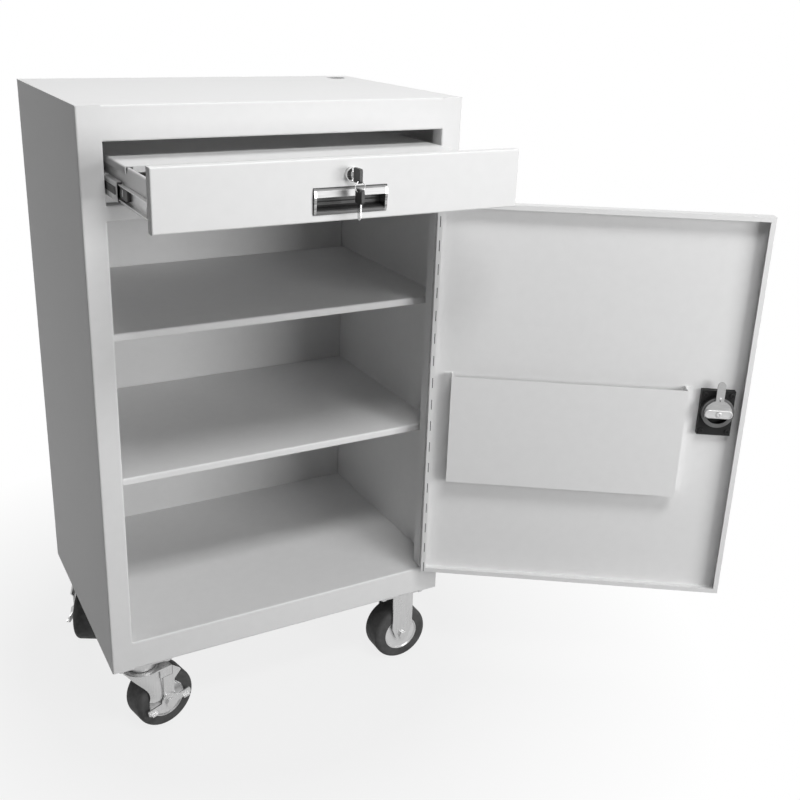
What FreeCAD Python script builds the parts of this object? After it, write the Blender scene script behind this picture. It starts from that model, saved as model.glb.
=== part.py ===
"""Mobile work cabinet: sheet-steel shell on casters, with a drawer, a hinged door and two shelves.

Millimetres. The origin lies on the floor under the middle of the shell, the front faces -Y and +Z is up.
The pose is the photographed one: drawer pulled out, door swung open.
"""
import FreeCAD, Part
import math
import os
from collections import namedtuple

import Sketcher

DRIVING = {
    "body_width": 610,
    "body_depth": 425,
    "body_height": 900,
    "ride_height": 140,
    "sheet": 1.5,
    "bend_radius": 3,
    "post_width": 35,
    "post_return": 28,
    "rear_flange": 15,
    "header_height": 49,
    "rail_return": 18,
    "drawer_opening": 88,
    "divider_height": 22,
    "divider_depth": 25,
    "sill_height": 50,
    "sill_return": 10,
    "shelf_setback": 35,
    "shelf_lip": 13,
    "shelf_hem": 10,
    "lower_shelf_level": 466,
    "upper_shelf_level": 704,
    "cable_hole": 34,
    "cable_hole_side": 40,
    "cable_hole_back": 44,
    "slide_space": 12.7,
    "slide_height": 30,
    "slide_level": 931,
    "slide_length": 380,
    "slide_gauge": 1.2,
    "slide_play": 0.2,
    "race_depth": 2.7,
    "drawer_open": 214,
    "middle_share": 0.31,
    "drawer_side_gap": 1.5,
    "drawer_foot_gap": 3.5,
    "drawer_face_height": 82.5,
    "drawer_face_depth": 15,
    "tray_depth": 385,
    "tray_foot_gap": 8,
    "tray_height": 52.7,
    "bead_radius": 2.8,
    "lid_width": 519.5,
    "lid_depth": 236,
    "lid_front": 144,
    "lid_rise": 1.5,
    "lid_flange": 10,
    "lid_lip": 8.5,
    "pull_width": 108,
    "pull_height": 34.5,
    "pull_level": 934,
    "pull_depth": 16,
    "pull_cap": 3.5,
    "pull_proud": 3,
    "lock_level": 968,
    "lock_face": 9.5,
    "lock_barrel": 8,
    "lock_length": 22,
    "lock_chamfer": 1,
    "plug_radius": 5.5,
    "key_thickness": 4.4,
    "blade_thickness": 2.2,
    "blade_width": 8,
    "key_bow_width": 18.5,
    "key_bow_low": -8.5,
    "key_bow_high": 10.5,
    "key_hole": 2,
    "key_hole_out": -27.5,
    "key_hole_up": -5.4,
    "key_corner": 3.5,
    "key_neck_corner": 1.5,
    "ring_radius": 7,
    "ring_wire": 0.7,
    "door_open": 146.5,
    "door_gap": 1,
    "door_foot_gap": 6.5,
    "door_head_gap": 2,
    "door_depth": 22,
    "door_lip": 8,
    "hinge_barrel": 3.25,
    "hinge_bore": 1.6,
    "hinge_pin": 1.5,
    "hinge_leaf": 1.2,
    "hinge_leaf_depth": 20.75,
    "hinge_knuckle": 20,
    "hinge_knuckle_gap": 0.5,
    "hinge_notch": 2.5,
    "pocket_start": 40,
    "pocket_width": 396,
    "pocket_height": 197,
    "pocket_level": 384,
    "pocket_depth": 25,
    "pocket_tab": 12,
    "latch_reach": 489.7,
    "latch_level": 543.5,
    "latch_width": 55.5,
    "latch_high": 35.7,
    "latch_low": 44.7,
    "latch_depth": 12,
    "latch_rim": 5,
    "dish_wall": 5,
    "dish_floor": 4,
    "ring_boss": 27,
    "ring_boss_height": 22,
    "cam_level": 23,
    "cam_thickness": 2.5,
    "cam_radius": 23,
    "cam_reach": 56,
    "cam_tongue": 13.5,
    "strike_low": 10,
    "strike_high": 40,
    "strike_play": 2,
    "bar_length": 46,
    "bar_width": 15,
    "bar_thickness": 5,
    "bar_rim": 2.2,
    "bar_recess": 1.2,
    "spindle_radius": 6,
    "swivel_side": 54.5,
    "rigid_side": 68,
    "front_setback": 32,
    "rear_setback": 66,
    "channel_width": 104,
    "plate_length": 96,
    "plate_depth": 58,
    "plate_thickness": 3,
    "plate_corner": 8,
    "wheel_radius": 52.5,
    "wheel_width": 49,
    "tyre_shoulder": 8.5,
    "hub_radius": 33,
    "axle_radius": 6,
    "axle_bore": 6.1,
    "axle_head": 5,
    "axle_hexagon": 8,
    "leg_thickness": 3,
    "leg_gap": 52,
    "leg_end": 14,
    "fork_leg_width": 41,
    "swivel_trail": 31,
    "front_swivel_turn": 13.6,
    "rear_swivel_turn": -118,
    "race_radius": 25,
    "race_rounding": 5,
    "kingpin_length": 12,
    "yoke_top": 121,
    "yoke_reach": 39.3,
    "yoke_leg_left": 15,
    "wing_left": 17,
    "wing_drop": 17.5,
    "groove_inner": 26,
    "groove_outer": 30.5,
    "groove_depth": 1.5,
    "bell_radius": 34,
    "bell_start": 180,
    "bell_end": 301.5,
    "bell_waist": 110,
    "bell_waist_start": 220,
    "rib_radius": 16,
    "rib_angle": 38.7,
    "rib_side": 19,
    "rib_knee": 79.3,
    "rib_knee_x": 9,
    "rib_foot": 63.5,
    "rib_foot_x": 8.5,
    "brake_gauge": 2.5,
    "strap_half": 8.5,
    "strap_top": 50,
    "strap_waist": 12.5,
    "strap_knee": 39,
    "horn_root": 9.5,
    "horn_reach": 26,
    "horn_level": 52.5,
    "horn_top": 66,
    "lever_tilt": 9.7,
    "lever_reach": 41,
    "lever_drop": 2,
    "lever_width": 12,
    "lever_eye": 15,
    "lever_tread": 4.5,
    "running_gap": 0.3,
    "turning_fit": 0.1,
}

doc = FreeCAD.newDocument("mobile_work_cabinet")
sheet_object = doc.addObject("Spreadsheet::Sheet", "dims")
for row, (alias, number) in enumerate(DRIVING.items(), 1):
    sheet_object.set(f"A{row}", alias)
    sheet_object.set(f"B{row}", str(number))
    sheet_object.setAlias(f"B{row}", alias)
doc.recompute()

bodies = []
Arc = namedtuple("Arc", "u v radius turn")
PLANE_AXES = {"XY": (0, 1, 2), "XZ": (0, 2, 1), "YZ": (1, 2, 0)}


class Size:
    """A number together with the spreadsheet expression that gives it."""

    def __init__(self, value, text):
        self.value = float(value)
        self.text = text

    def __add__(self, other):
        other = as_size(other)
        return Size(self.value + other.value, f"({self.text} + {other.text})")

    def __sub__(self, other):
        other = as_size(other)
        return Size(self.value - other.value, f"({self.text} - {other.text})")

    def __mul__(self, other):
        other = as_size(other)
        return Size(self.value * other.value, f"({self.text} * {other.text})")

    def __truediv__(self, other):
        other = as_size(other)
        return Size(self.value / other.value, f"({self.text} / {other.text})")

    def __radd__(self, other):
        return as_size(other) + self

    def __rsub__(self, other):
        return as_size(other) - self

    def __rmul__(self, other):
        return as_size(other) * self

    def __neg__(self):
        return as_size(0) - self


def as_size(number):
    """Give a plain number the same form as a size from the spreadsheet."""
    return number if isinstance(number, Size) else Size(number, f"({number})")


def cosine(angle):
    """Cosine of an angle in degrees."""
    return Size(math.cos(math.radians(angle.value)), f"cos({angle.text} * 1 deg)")


def sine(angle):
    """Sine of an angle in degrees."""
    return Size(math.sin(math.radians(angle.value)), f"sin({angle.text} * 1 deg)")


def bind(target, path, size):
    """Tie a property of a document object to the spreadsheet."""
    target.setExpression(path, as_size(size).text)


def rect(u0, u1, v0, v1):
    """Corners of an upright rectangle."""
    return [(u0, v0), (u1, v0), (u1, v1), (u0, v1)]


def hexagon(radius):
    """Corners of a bolt head."""
    corners = [as_size(60 * step) for step in range(6)]
    return [(radius * cosine(angle), radius * sine(angle)) for angle in corners]


def obround(length, width):
    """A bar with round ends, lying along u about the origin."""
    reach = (length - width) / 2
    half = width / 2
    zero = as_size(0)
    return [
        (-reach, -half),
        (reach, -half, Arc(reach, zero, half, 1)),
        (reach, half),
        (-reach, half, Arc(-reach, zero, half, 1)),
    ]


def bent_strip(path, thickness, side):
    """Outline of a sheet bent along an upright path, and the corners inside and outside its bends.

    The path is one face of the sheet. The other lies to its left (side 1) or right (side -1).
    """
    values = [(as_size(u).value, as_size(v).value) for u, v in path]
    normals = []
    for (u0, v0), (u1, v1) in zip(values, values[1:]):
        length = math.hypot(u1 - u0, v1 - v0)
        normals.append((round(-(v1 - v0) / length) * side, round((u1 - u0) / length) * side))
    far = []
    for index, (u, v) in enumerate(path):
        beside = set(normals[max(index - 1, 0):index + 1])
        far.append((u + thickness * sum(n[0] for n in beside), v + thickness * sum(n[1] for n in beside)))
    outer, inner = [], []
    for index in range(1, len(path) - 1):
        (u0, v0), (u1, v1), (u2, v2) = values[index - 1:index + 2]
        turn = (u1 - u0) * (v2 - v1) - (v1 - v0) * (u2 - u1)
        towards = turn * side > 0
        outer.append(path[index] if towards else far[index])
        inner.append(far[index] if towards else path[index])
    return list(path) + far[::-1], outer, inner


class Piece:
    """One solid piece, drawn in its own frame and then set in its place."""

    def __init__(self, label, x=0, y=0, z=0, yaw=None):
        self.body = doc.addObject("PartDesign::Body", label)
        self.body.Label = label
        self.frame = {feature.Role: feature for feature in self.body.Origin.OriginFeatures}
        if yaw is not None:
            turn = FreeCAD.Rotation(FreeCAD.Vector(0, 0, 1), yaw.value)
            self.body.Placement = FreeCAD.Placement(FreeCAD.Vector(), turn)
            bind(self.body, "Placement.Rotation.Angle", yaw)
        for axis, size in zip("xyz", (x, y, z)):
            bind(self.body, f"Placement.Base.{axis}", size)
        bodies.append(self.body)

    def draw(self, plane, level, outline, circles=()):
        """Sketch a closed outline and circles on a plane, each point tied to the spreadsheet."""
        sketch = self.body.newObject("Sketcher::SketchObject", "Sketch")
        sketch.AttachmentSupport = (self.frame[f"{plane}_Plane"], [""])
        sketch.MapMode = "FlatFace"
        bind(sketch, "AttachmentOffset.Base.z", -as_size(level) if plane == "XZ" else level)
        points = [(as_size(point[0]), as_size(point[1])) for point in outline]
        starts, ends = [], []
        for index, point in enumerate(outline):
            first = FreeCAD.Vector(points[index][0].value, points[index][1].value, 0)
            after = points[(index + 1) % len(points)]
            last = FreeCAD.Vector(after[0].value, after[1].value, 0)
            if len(point) == 2:
                sketch.addGeometry(Part.LineSegment(first, last))
                starts.append(1)
                ends.append(2)
                continue
            arc = point[2]
            middle = FreeCAD.Vector(as_size(arc.u).value, as_size(arc.v).value, 0)
            circle = Part.Circle(middle, FreeCAD.Vector(0, 0, 1), as_size(arc.radius).value)
            low, high = (first, last) if arc.turn > 0 else (last, first)
            angles = [math.atan2(end.y - middle.y, end.x - middle.x) for end in (low, high)]
            sketch.addGeometry(Part.ArcOfCircle(circle, angles[0], angles[1]))
            starts.append(1 if arc.turn > 0 else 2)
            ends.append(2 if arc.turn > 0 else 1)
        for index, point in enumerate(outline):
            after = (index + 1) % len(outline)
            sketch.addConstraint(Sketcher.Constraint("Coincident", index, ends[index], after, starts[after]))
            self.pin_point(sketch, index, starts[index], points[index])
            if len(point) == 3:
                chord = [abs(points[after][axis].value - points[index][axis].value) for axis in (0, 1)]
                kind, size = ("DistanceX", point[2].u) if chord[1] > chord[0] else ("DistanceY", point[2].v)
                self.pin_distance(sketch, index, 3, kind, as_size(size))
        for u, v, radius in circles:
            middle = FreeCAD.Vector(as_size(u).value, as_size(v).value, 0)
            shape = Part.Circle(middle, FreeCAD.Vector(0, 0, 1), as_size(radius).value)
            index = sketch.addGeometry(shape)
            self.pin_point(sketch, index, 3, (as_size(u), as_size(v)))
            self.tie(sketch, Sketcher.Constraint("Radius", index, as_size(radius).value), radius)
        return sketch

    def tie(self, sketch, constraint, size):
        """Add a dimension to a sketch and tie it to the spreadsheet."""
        index = sketch.addConstraint(constraint)
        bind(sketch, f"Constraints[{index}]", size)

    def pin_distance(self, sketch, index, end, kind, size):
        """Fix a sketch point by one distance from the origin."""
        if abs(size.value) < 1e-9:
            axis = -2 if kind == "DistanceX" else -1
            sketch.addConstraint(Sketcher.Constraint("PointOnObject", index, end, axis))
        else:
            self.tie(sketch, Sketcher.Constraint(kind, index, end, size.value), size)

    def pin_point(self, sketch, index, end, point):
        """Fix a sketch point by its two distances from the origin."""
        self.pin_distance(sketch, index, end, "DistanceX", point[0])
        self.pin_distance(sketch, index, end, "DistanceY", point[1])

    def pad(self, plane, start, length, outline=(), circles=()):
        """Add a prism that runs from the start level towards the plane's positive axis."""
        sketch = self.draw(plane, start, outline, circles)
        feature = self.body.newObject("PartDesign::Pad", "Pad")
        feature.Profile = sketch
        feature.Reversed = plane == "XZ"
        bind(feature, "Length", length)
        return feature

    def cut(self, plane, start, length, outline=(), circles=()):
        """Remove a prism that runs from the start level towards the plane's positive axis."""
        doc.recompute()
        before = self.body.Tip.Shape.Volume
        sketch = self.draw(plane, start, outline, circles)
        feature = self.body.newObject("PartDesign::Pocket", "Pocket")
        feature.Profile = sketch
        feature.Reversed = plane != "XZ"
        bind(feature, "Length", length)
        doc.recompute()
        if feature.Shape.Volume > before - 1e-3:
            raise RuntimeError(f"{self.body.Label}: a cut removes nothing")
        return feature

    def lathe(self, profile):
        """Turn a profile of (y, radius) points about the piece's own Y axis."""
        sketch = self.draw("YZ", 0, profile)
        feature = self.body.newObject("PartDesign::Revolution", "Revolution")
        feature.Profile = sketch
        feature.ReferenceAxis = (sketch, ["H_Axis"])
        feature.Angle = 360
        return feature

    def loft(self, sections):
        """Add a solid that runs through level outlines, each given as (level, outline)."""
        sketches = [self.draw("XY", level, outline) for level, outline in sections]
        feature = self.body.newObject("PartDesign::AdditiveLoft", "Loft")
        feature.Profile = sketches[0]
        feature.Sections = sketches[1:]
        return feature

    def fillet(self, radius, wanted):
        """Round every edge that the test wants."""
        doc.recompute()
        base = self.body.Tip
        names = [f"Edge{n}" for n, edge in enumerate(base.Shape.Edges, 1) if wanted(edge)]
        if not names:
            raise RuntimeError(f"{self.body.Label}: no edge to round")
        feature = self.body.newObject("PartDesign::Fillet", "Fillet")
        feature.Base = (base, names)
        bind(feature, "Radius", radius)
        return feature

    def round_corners(self, plane, corners, radius):
        """Round the edges that stand on the plane at the given corners."""
        u, v, _ = PLANE_AXES[plane]
        places = [(as_size(corner[0]).value, as_size(corner[1]).value) for corner in corners]

        def stands(edge):
            ends = [vertex.Point for vertex in edge.Vertexes]
            return len(ends) == 2 and any(
                max(abs(end[u] - a) + abs(end[v] - b) for end in ends) < 1e-3 for a, b in places)

        return self.fillet(radius, stands)

    def bend(self, plane, start, length, path, side, thickness=None, radius=None):
        """Add a sheet bent along a path, with rounded bends."""
        thickness = d.sheet if thickness is None else thickness
        radius = d.bend_radius if radius is None else radius
        outline, outer, inner = bent_strip(path, thickness, side)
        self.pad(plane, start, length, outline)
        self.round_corners(plane, outer, radius)
        self.round_corners(plane, inner, radius - thickness)

    def repeat_up(self, originals, count, pitch):
        """Repeat features upwards at a pitch."""
        doc.recompute()
        feature = self.body.newObject("PartDesign::LinearPattern", "LinearPattern")
        feature.Originals = originals
        feature.Direction = (self.frame["Z_Axis"], [""])
        bind(feature, "Length", pitch * (count - 1))
        feature.Occurrences = count
        self.body.Tip = feature
        return feature


d = namedtuple("Sizes", DRIVING)(*(Size(number, f"dims.{alias}") for alias, number in DRIVING.items()))

# Levels and planes of the shell that several pieces share
half_width = d.body_width / 2
front = -(d.body_depth / 2)
back = d.body_depth / 2
sill_bottom = d.ride_height
sill_top = d.ride_height + d.sill_height
top = d.ride_height + d.body_height
header_bottom = top - d.header_height
drawer_sill = header_bottom - d.drawer_opening
divider_bottom = drawer_sill - d.divider_height
opening_half = half_width - d.post_width
inner_half = half_width - d.sheet
inner_back = back - d.sheet * 2
swivel_x = d.swivel_side - half_width
rigid_x = half_width - d.rigid_side


def side_panel(name, hand):
    """Side wall with its front post, the post's return and a rear flange, bent from one sheet."""
    panel = Piece(f"{name}_side_panel")
    path = [
        (hand * opening_half, front + d.post_return),
        (hand * opening_half, front),
        (hand * half_width, front),
        (hand * half_width, back),
        (hand * (half_width - d.rear_flange), back),
    ]
    panel.bend("XY", sill_bottom, d.body_height - d.sheet, path, hand)
    notch = sorted((hand * (opening_half - d.sheet), hand * inner_half), key=lambda size: size.value)
    panel.cut("XY", sill_bottom, d.sill_height,
              rect(notch[0], notch[1], front + d.bend_radius, front + d.post_return))
    return panel


def strike_notch(panel):
    """Notch in the left post's return, which the latch's cam turns into when the door is shut."""
    near = front + d.cam_level - d.strike_play
    panel.cut("YZ", -opening_half - d.sheet, d.sheet,
              rect(near, front + d.post_return, d.latch_level - d.strike_low, d.latch_level + d.strike_high))


def top_panel():
    """Worktop sheet whose front edge is bent down as the header, with a hole for a cable."""
    panel = Piece("top_panel")
    path = [
        (front + d.rail_return, header_bottom),
        (front, header_bottom),
        (front, top),
        (front + d.rail_return, top),
    ]
    panel.bend("YZ", -opening_half, opening_half * 2, path, -1)
    notch = front + d.bend_radius
    flat = [
        (-half_width, front),
        (-opening_half, front),
        (-opening_half, notch),
        (opening_half, notch),
        (opening_half, front),
        (half_width, front),
        (half_width, back),
        (-half_width, back),
    ]
    panel.pad("XY", top - d.sheet, d.sheet, flat)
    hole = (half_width - d.cable_hole_side, back - d.cable_hole_back, d.cable_hole / 2)
    panel.cut("XY", top - d.sheet, d.sheet, circles=[hole])


def back_panel():
    """Flat back sheet, inside the rear flanges of the sides."""
    panel = Piece("back_panel")
    half = inner_half - (d.bend_radius - d.sheet)
    panel.pad("XZ", inner_back, d.sheet, rect(-half, half, sill_bottom, top - d.sheet))


def bottom_panel():
    """Floor of the cabinet, bent down in front as the sill."""
    panel = Piece("bottom_panel")
    overlap = front + d.post_return + d.bend_radius
    path = [
        (front + d.sill_return, sill_bottom),
        (front, sill_bottom),
        (front, sill_top),
        (overlap, sill_top),
    ]
    panel.bend("YZ", -opening_half, opening_half * 2, path, -1)
    floor = rect(-inner_half, inner_half, front + d.post_return, inner_back)
    panel.pad("XY", sill_top - d.sheet, d.sheet, floor)


def divider_rail():
    """Channel between the drawer opening and the door opening."""
    rail = Piece("divider_rail")
    path = [
        (front + d.divider_depth, drawer_sill),
        (front, drawer_sill),
        (front, divider_bottom),
        (front + d.divider_depth, divider_bottom),
    ]
    rail.bend("YZ", -opening_half, opening_half * 2, path, 1)


def shelf(name, level):
    """Shelf with a hemmed front lip and a rear flange."""
    board = Piece(name)
    edge = front + d.shelf_setback
    path = [
        (edge + d.shelf_hem, level - d.shelf_lip),
        (edge, level - d.shelf_lip),
        (edge, level),
        (inner_back, level),
        (inner_back, level - d.shelf_lip),
    ]
    board.bend("YZ", -inner_half, inner_half * 2, path, -1)


def caster_channel(name, middle):
    """Channel under the floor that carries two casters."""
    channel = Piece(f"caster_channel_{name}")
    half = d.channel_width / 2
    path = [
        (middle - half, sill_top - d.sheet),
        (middle - half, sill_bottom),
        (middle + half, sill_bottom),
        (middle + half, sill_top - d.sheet),
    ]
    start = front + d.sill_return + d.sheet
    channel.bend("XZ", start, inner_back - start, path, 1)


def slide_bracket(name, hand):
    """Channel that stands between the side wall and a drawer slide, level with the post's return."""
    bracket = Piece(f"slide_bracket_{name}")
    rise = d.slide_height / 2 + d.bend_radius
    path = [
        (hand * inner_half, d.slide_level - rise),
        (hand * opening_half, d.slide_level - rise),
        (hand * opening_half, d.slide_level + rise),
        (hand * inner_half, d.slide_level + rise),
    ]
    start = front + d.post_return
    bracket.bend("XZ", start, inner_back - start, path, -hand)


def slides(name, hand):
    """One telescopic drawer slide: the fixed rail, the middle rail and the drawer's runner."""
    rail_half = d.slide_height / 2
    race_half = rail_half - d.slide_gauge - d.slide_play
    runner_half = race_half - d.race_depth - d.slide_play
    start = front + d.sheet + d.drawer_face_depth
    mouth = opening_half - d.slide_space + d.slide_gauge * 2
    length = d.slide_length - d.drawer_face_depth

    rail = Piece(f"slide_rail_{name}")
    path = [
        (hand * mouth, d.slide_level + rail_half),
        (hand * opening_half, d.slide_level + rail_half),
        (hand * opening_half, d.slide_level - rail_half),
        (hand * mouth, d.slide_level - rail_half),
    ]
    rail.bend("XZ", start, length, path, -hand, d.slide_gauge, d.slide_gauge * 1.5)

    middle = Piece(f"slide_middle_{name}", y=-(d.drawer_open * d.middle_share))
    web = opening_half - d.slide_gauge * 2
    inside = web - d.slide_gauge
    ball_side = race_half - d.race_depth
    profile = [
        (hand * mouth, d.slide_level + race_half),
        (hand * web, d.slide_level + race_half),
        (hand * web, d.slide_level - race_half),
        (hand * mouth, d.slide_level - race_half),
        (hand * mouth, d.slide_level - ball_side),
        (hand * inside, d.slide_level - ball_side),
        (hand * inside, d.slide_level + ball_side),
        (hand * mouth, d.slide_level + ball_side),
    ]
    middle.pad("XZ", start, length - d.drawer_face_depth, profile)
    middle.round_corners("XZ", profile[1:3], d.slide_gauge)

    runner = Piece(f"slide_runner_{name}", y=-d.drawer_open)
    wall = opening_half - d.slide_space
    lip = inside - d.slide_gauge
    path = [
        (hand * lip, d.slide_level + runner_half),
        (hand * wall, d.slide_level + runner_half),
        (hand * wall, d.slide_level - runner_half),
        (hand * lip, d.slide_level - runner_half),
    ]
    runner.bend("XZ", start, length, path, hand, d.slide_gauge, d.slide_gauge * 1.5)


# Drawer levels, with the drawer pushed in; the placement pulls it out
face_half = opening_half - d.drawer_side_gap
face_bottom = drawer_sill + d.drawer_foot_gap
face_top = face_bottom + d.drawer_face_height
tray_half = opening_half - d.slide_space
tray_bottom = drawer_sill + d.tray_foot_gap
tray_top = tray_bottom + d.tray_height
pull_bottom = d.pull_level - d.pull_height / 2
pull_top = d.pull_level + d.pull_height / 2
pull_half = d.pull_width / 2
lock_place = {"y": front - d.drawer_open, "z": d.lock_level}


def drawer_front():
    """Pan front of the drawer, with a window for the pull and a hole for the lock."""
    pan = Piece("drawer_front", y=-d.drawer_open)
    pan.pad("XZ", front, d.drawer_face_depth, rect(-face_half, face_half, face_bottom, face_top))
    pan.fillet(d.bend_radius - d.sheet / 2, lambda edge: all(
        abs(vertex.Y - front.value) < 1e-3 for vertex in edge.Vertexes))
    inner = rect(-(face_half - d.sheet), face_half - d.sheet, face_bottom + d.sheet, face_top - d.sheet)
    pan.cut("XZ", front + d.sheet, d.drawer_face_depth - d.sheet, inner)
    half = pull_half - d.sheet
    window = rect(-half, half, pull_bottom + d.pull_proud, pull_top - d.pull_proud)
    pan.cut("XZ", front, d.sheet, window)
    pan.cut("XZ", front, d.sheet, circles=[(0, d.lock_level, d.lock_barrel)])


def drawer_tray():
    """Drawer box without a front wall, its side walls ending in rolled beads."""
    tray = Piece("drawer_tray", y=-d.drawer_open)
    start = front + d.sheet
    path = [
        (-tray_half, tray_top),
        (-tray_half, tray_bottom),
        (tray_half, tray_bottom),
        (tray_half, tray_top),
    ]
    tray.bend("XZ", start, d.tray_depth, path, 1, d.slide_gauge, d.slide_gauge * 2)
    bead = tray_half - d.bead_radius
    tray.pad("XZ", start, d.tray_depth, circles=[(-bead, tray_top, d.bead_radius)])
    tray.pad("XZ", start, d.tray_depth, circles=[(bead, tray_top, d.bead_radius)])
    wall = rect(-(tray_half - d.slide_gauge), tray_half - d.slide_gauge, tray_bottom + d.slide_gauge,
                tray_top - d.bead_radius)
    tray.pad("XZ", start + d.tray_depth - d.slide_gauge, d.slide_gauge, wall)


def drawer_lid():
    """Sheet that slides on the drawer's beads, with hooked sides and a lip in front."""
    lid = Piece("drawer_lid", y=-d.drawer_open)
    crown = tray_top + d.bead_radius + d.lid_rise
    half = d.lid_width / 2
    start = front + d.lid_front
    path = [
        (-half, crown - d.lid_flange),
        (-half, crown),
        (half, crown),
        (half, crown - d.lid_flange),
    ]
    lid.bend("XZ", start, d.lid_depth, path, -1, d.slide_gauge, d.slide_gauge * 2)
    inside = tray_half - d.bead_radius * 3
    lip = rect(-inside, inside, crown - d.lid_lip, crown - d.slide_gauge)
    lid.pad("XZ", start, d.slide_gauge, lip)


def drawer_pull():
    """Recessed pull: an extruded channel with a hooked upper lip, closed by two end caps."""
    channel = Piece("pull_channel", y=front - d.drawer_open)
    proud = d.pull_proud
    inner_top = pull_top - proud - d.slide_gauge
    inner_bottom = pull_bottom + proud + d.slide_gauge
    lip_foot = pull_top - d.pull_height / 3
    upper_lip = [
        (0, pull_top),
        (-proud, pull_top - proud),
        (-proud * 1.5, lip_foot),
    ]
    lower_lip = [
        (-proud, pull_bottom + proud),
        (-proud / 2, pull_bottom),
        (0, pull_bottom),
    ]
    recess = [
        (0, pull_bottom + proud),
        (d.pull_depth, pull_bottom + proud),
        (d.pull_depth, pull_top - proud),
        (0, pull_top - proud),
    ]
    inside = [
        (-proud, lip_foot),
        (-proud / 2, inner_top),
        (d.pull_depth - d.slide_gauge, inner_top),
        (d.pull_depth - d.slide_gauge, inner_bottom),
        (-proud / 2, inner_bottom),
    ]
    inner = pull_half - d.pull_cap
    channel.pad("YZ", -inner, inner * 2, upper_lip + inside + lower_lip + recess)
    caps = Piece("pull_caps", y=front - d.drawer_open)
    for start, plug_start in ((-pull_half, d.sheet - pull_half), (inner, inner)):
        caps.pad("YZ", start, d.pull_cap, upper_lip + lower_lip)
        caps.pad("YZ", plug_start, d.pull_cap - d.sheet, recess)


def drawer_lock():
    """Cam lock in the drawer front: barrel, turning plug, cam, and the key left in the plug."""
    barrel = Piece("lock_body", **lock_place)
    bore = d.plug_radius + d.turning_fit
    proud = d.sheet * 4
    barrel.lathe([
        (-proud, bore),
        (-proud, d.lock_face - d.lock_chamfer),
        (d.lock_chamfer - proud, d.lock_face),
        (0, d.lock_face),
        (0, d.lock_barrel),
        (d.lock_length, d.lock_barrel),
        (d.lock_length, bore),
    ])
    plug = Piece("lock_plug", **lock_place)
    face = -proud - d.running_gap
    tail = d.lock_length + d.sheet
    plug.lathe([(face, 0), (face, d.plug_radius), (tail, d.plug_radius), (tail, 0)])
    slot_half = (d.blade_thickness + d.slide_play) / 2
    slot_rise = (d.blade_width + d.slide_play) / 2
    plug.cut("XZ", face, d.lock_length, rect(-slot_half, slot_half, -slot_rise, slot_rise))

    cam = Piece("lock_cam", **lock_place)
    reach = d.lock_face * 3
    cam_half = d.plug_radius
    cam.pad("XZ", tail, d.sheet, [
        (-reach, -cam_half),
        (0, -cam_half, Arc(0, 0, cam_half, 1)),
        (0, cam_half),
        (-reach, cam_half),
    ])

    key = Piece("lock_key", **lock_place)
    bow_back = face - d.plug_radius
    blade = rect(bow_back, d.lock_length - d.lock_face, -d.blade_width / 2, d.blade_width / 2)
    key.pad("YZ", -d.blade_thickness / 2, d.blade_thickness, blade)
    key_bow(key, bow_back, bow_back - d.key_bow_width, d.key_bow_low, d.key_bow_high,
            (d.key_hole_out, d.key_hole_up))


def key_bow(key, near, far, low, high, hole):
    """Flat moulded key head with rounded corners and a hole for the ring."""
    corners = rect(far, near, low, high)
    key.pad("YZ", -d.key_thickness / 2, d.key_thickness, corners)
    key.round_corners("YZ", [corners[0], corners[3]], d.key_corner)
    key.round_corners("YZ", corners[1:3], d.key_neck_corner)
    key.cut("YZ", -d.key_thickness / 2, d.key_thickness, circles=[(hole[0], hole[1], d.key_hole)])


def spare_keys():
    """Split ring through the key's head, and the spare key that hangs from it."""
    pivot_y = lock_place["y"] + d.key_hole_out
    pivot_z = lock_place["z"] + d.key_hole_up
    ring = Piece("key_ring", y=pivot_y, z=pivot_z)
    sketch = ring.draw("YZ", 0, (), [(0, 0, d.ring_wire)])
    ring_turn = ring.body.newObject("PartDesign::Revolution", "Revolution")
    axis = ring.draw("YZ", 0, rect(as_size(-1), as_size(1), -d.ring_radius, -d.ring_radius - 1))
    axis.Visibility = False
    ring_turn.Profile = sketch
    ring_turn.ReferenceAxis = (axis, ["Edge1"])
    ring_turn.Angle = 360

    spare = Piece("spare_key", y=pivot_y, z=pivot_z - d.ring_radius * 2)
    bow_half = d.key_bow_width / 2
    bow_top = d.key_hole + d.key_corner / 2
    bow_foot = bow_top - (d.key_bow_high - d.key_bow_low)
    blade_tip = bow_foot - d.lock_length
    half = d.blade_width / 2
    blade = [
        (-half, blade_tip + half),
        (0, blade_tip),
        (half, blade_tip + half),
        (half, bow_foot),
        (-half, bow_foot),
    ]
    spare.pad("YZ", -d.blade_thickness / 2, d.blade_thickness, blade)
    key_bow(spare, bow_half, -bow_half, bow_foot, bow_top, (0, 0))


# The door's own frame: hinge axis at the origin, the closed door running towards -X, inside at +Y
hinge_x = opening_half - d.hinge_barrel
door_place = {"x": hinge_x, "y": front, "yaw": d.door_open}
door_bottom = sill_top + d.door_foot_gap
door_top = divider_bottom - d.door_head_gap
door_near = -d.hinge_barrel
door_far = -(hinge_x + opening_half - d.door_gap)
latch_place = {
    "x": hinge_x - d.latch_reach * cosine(d.door_open),
    "y": front - d.latch_reach * sine(d.door_open),
    "z": d.latch_level,
    "yaw": d.door_open,
}


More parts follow.
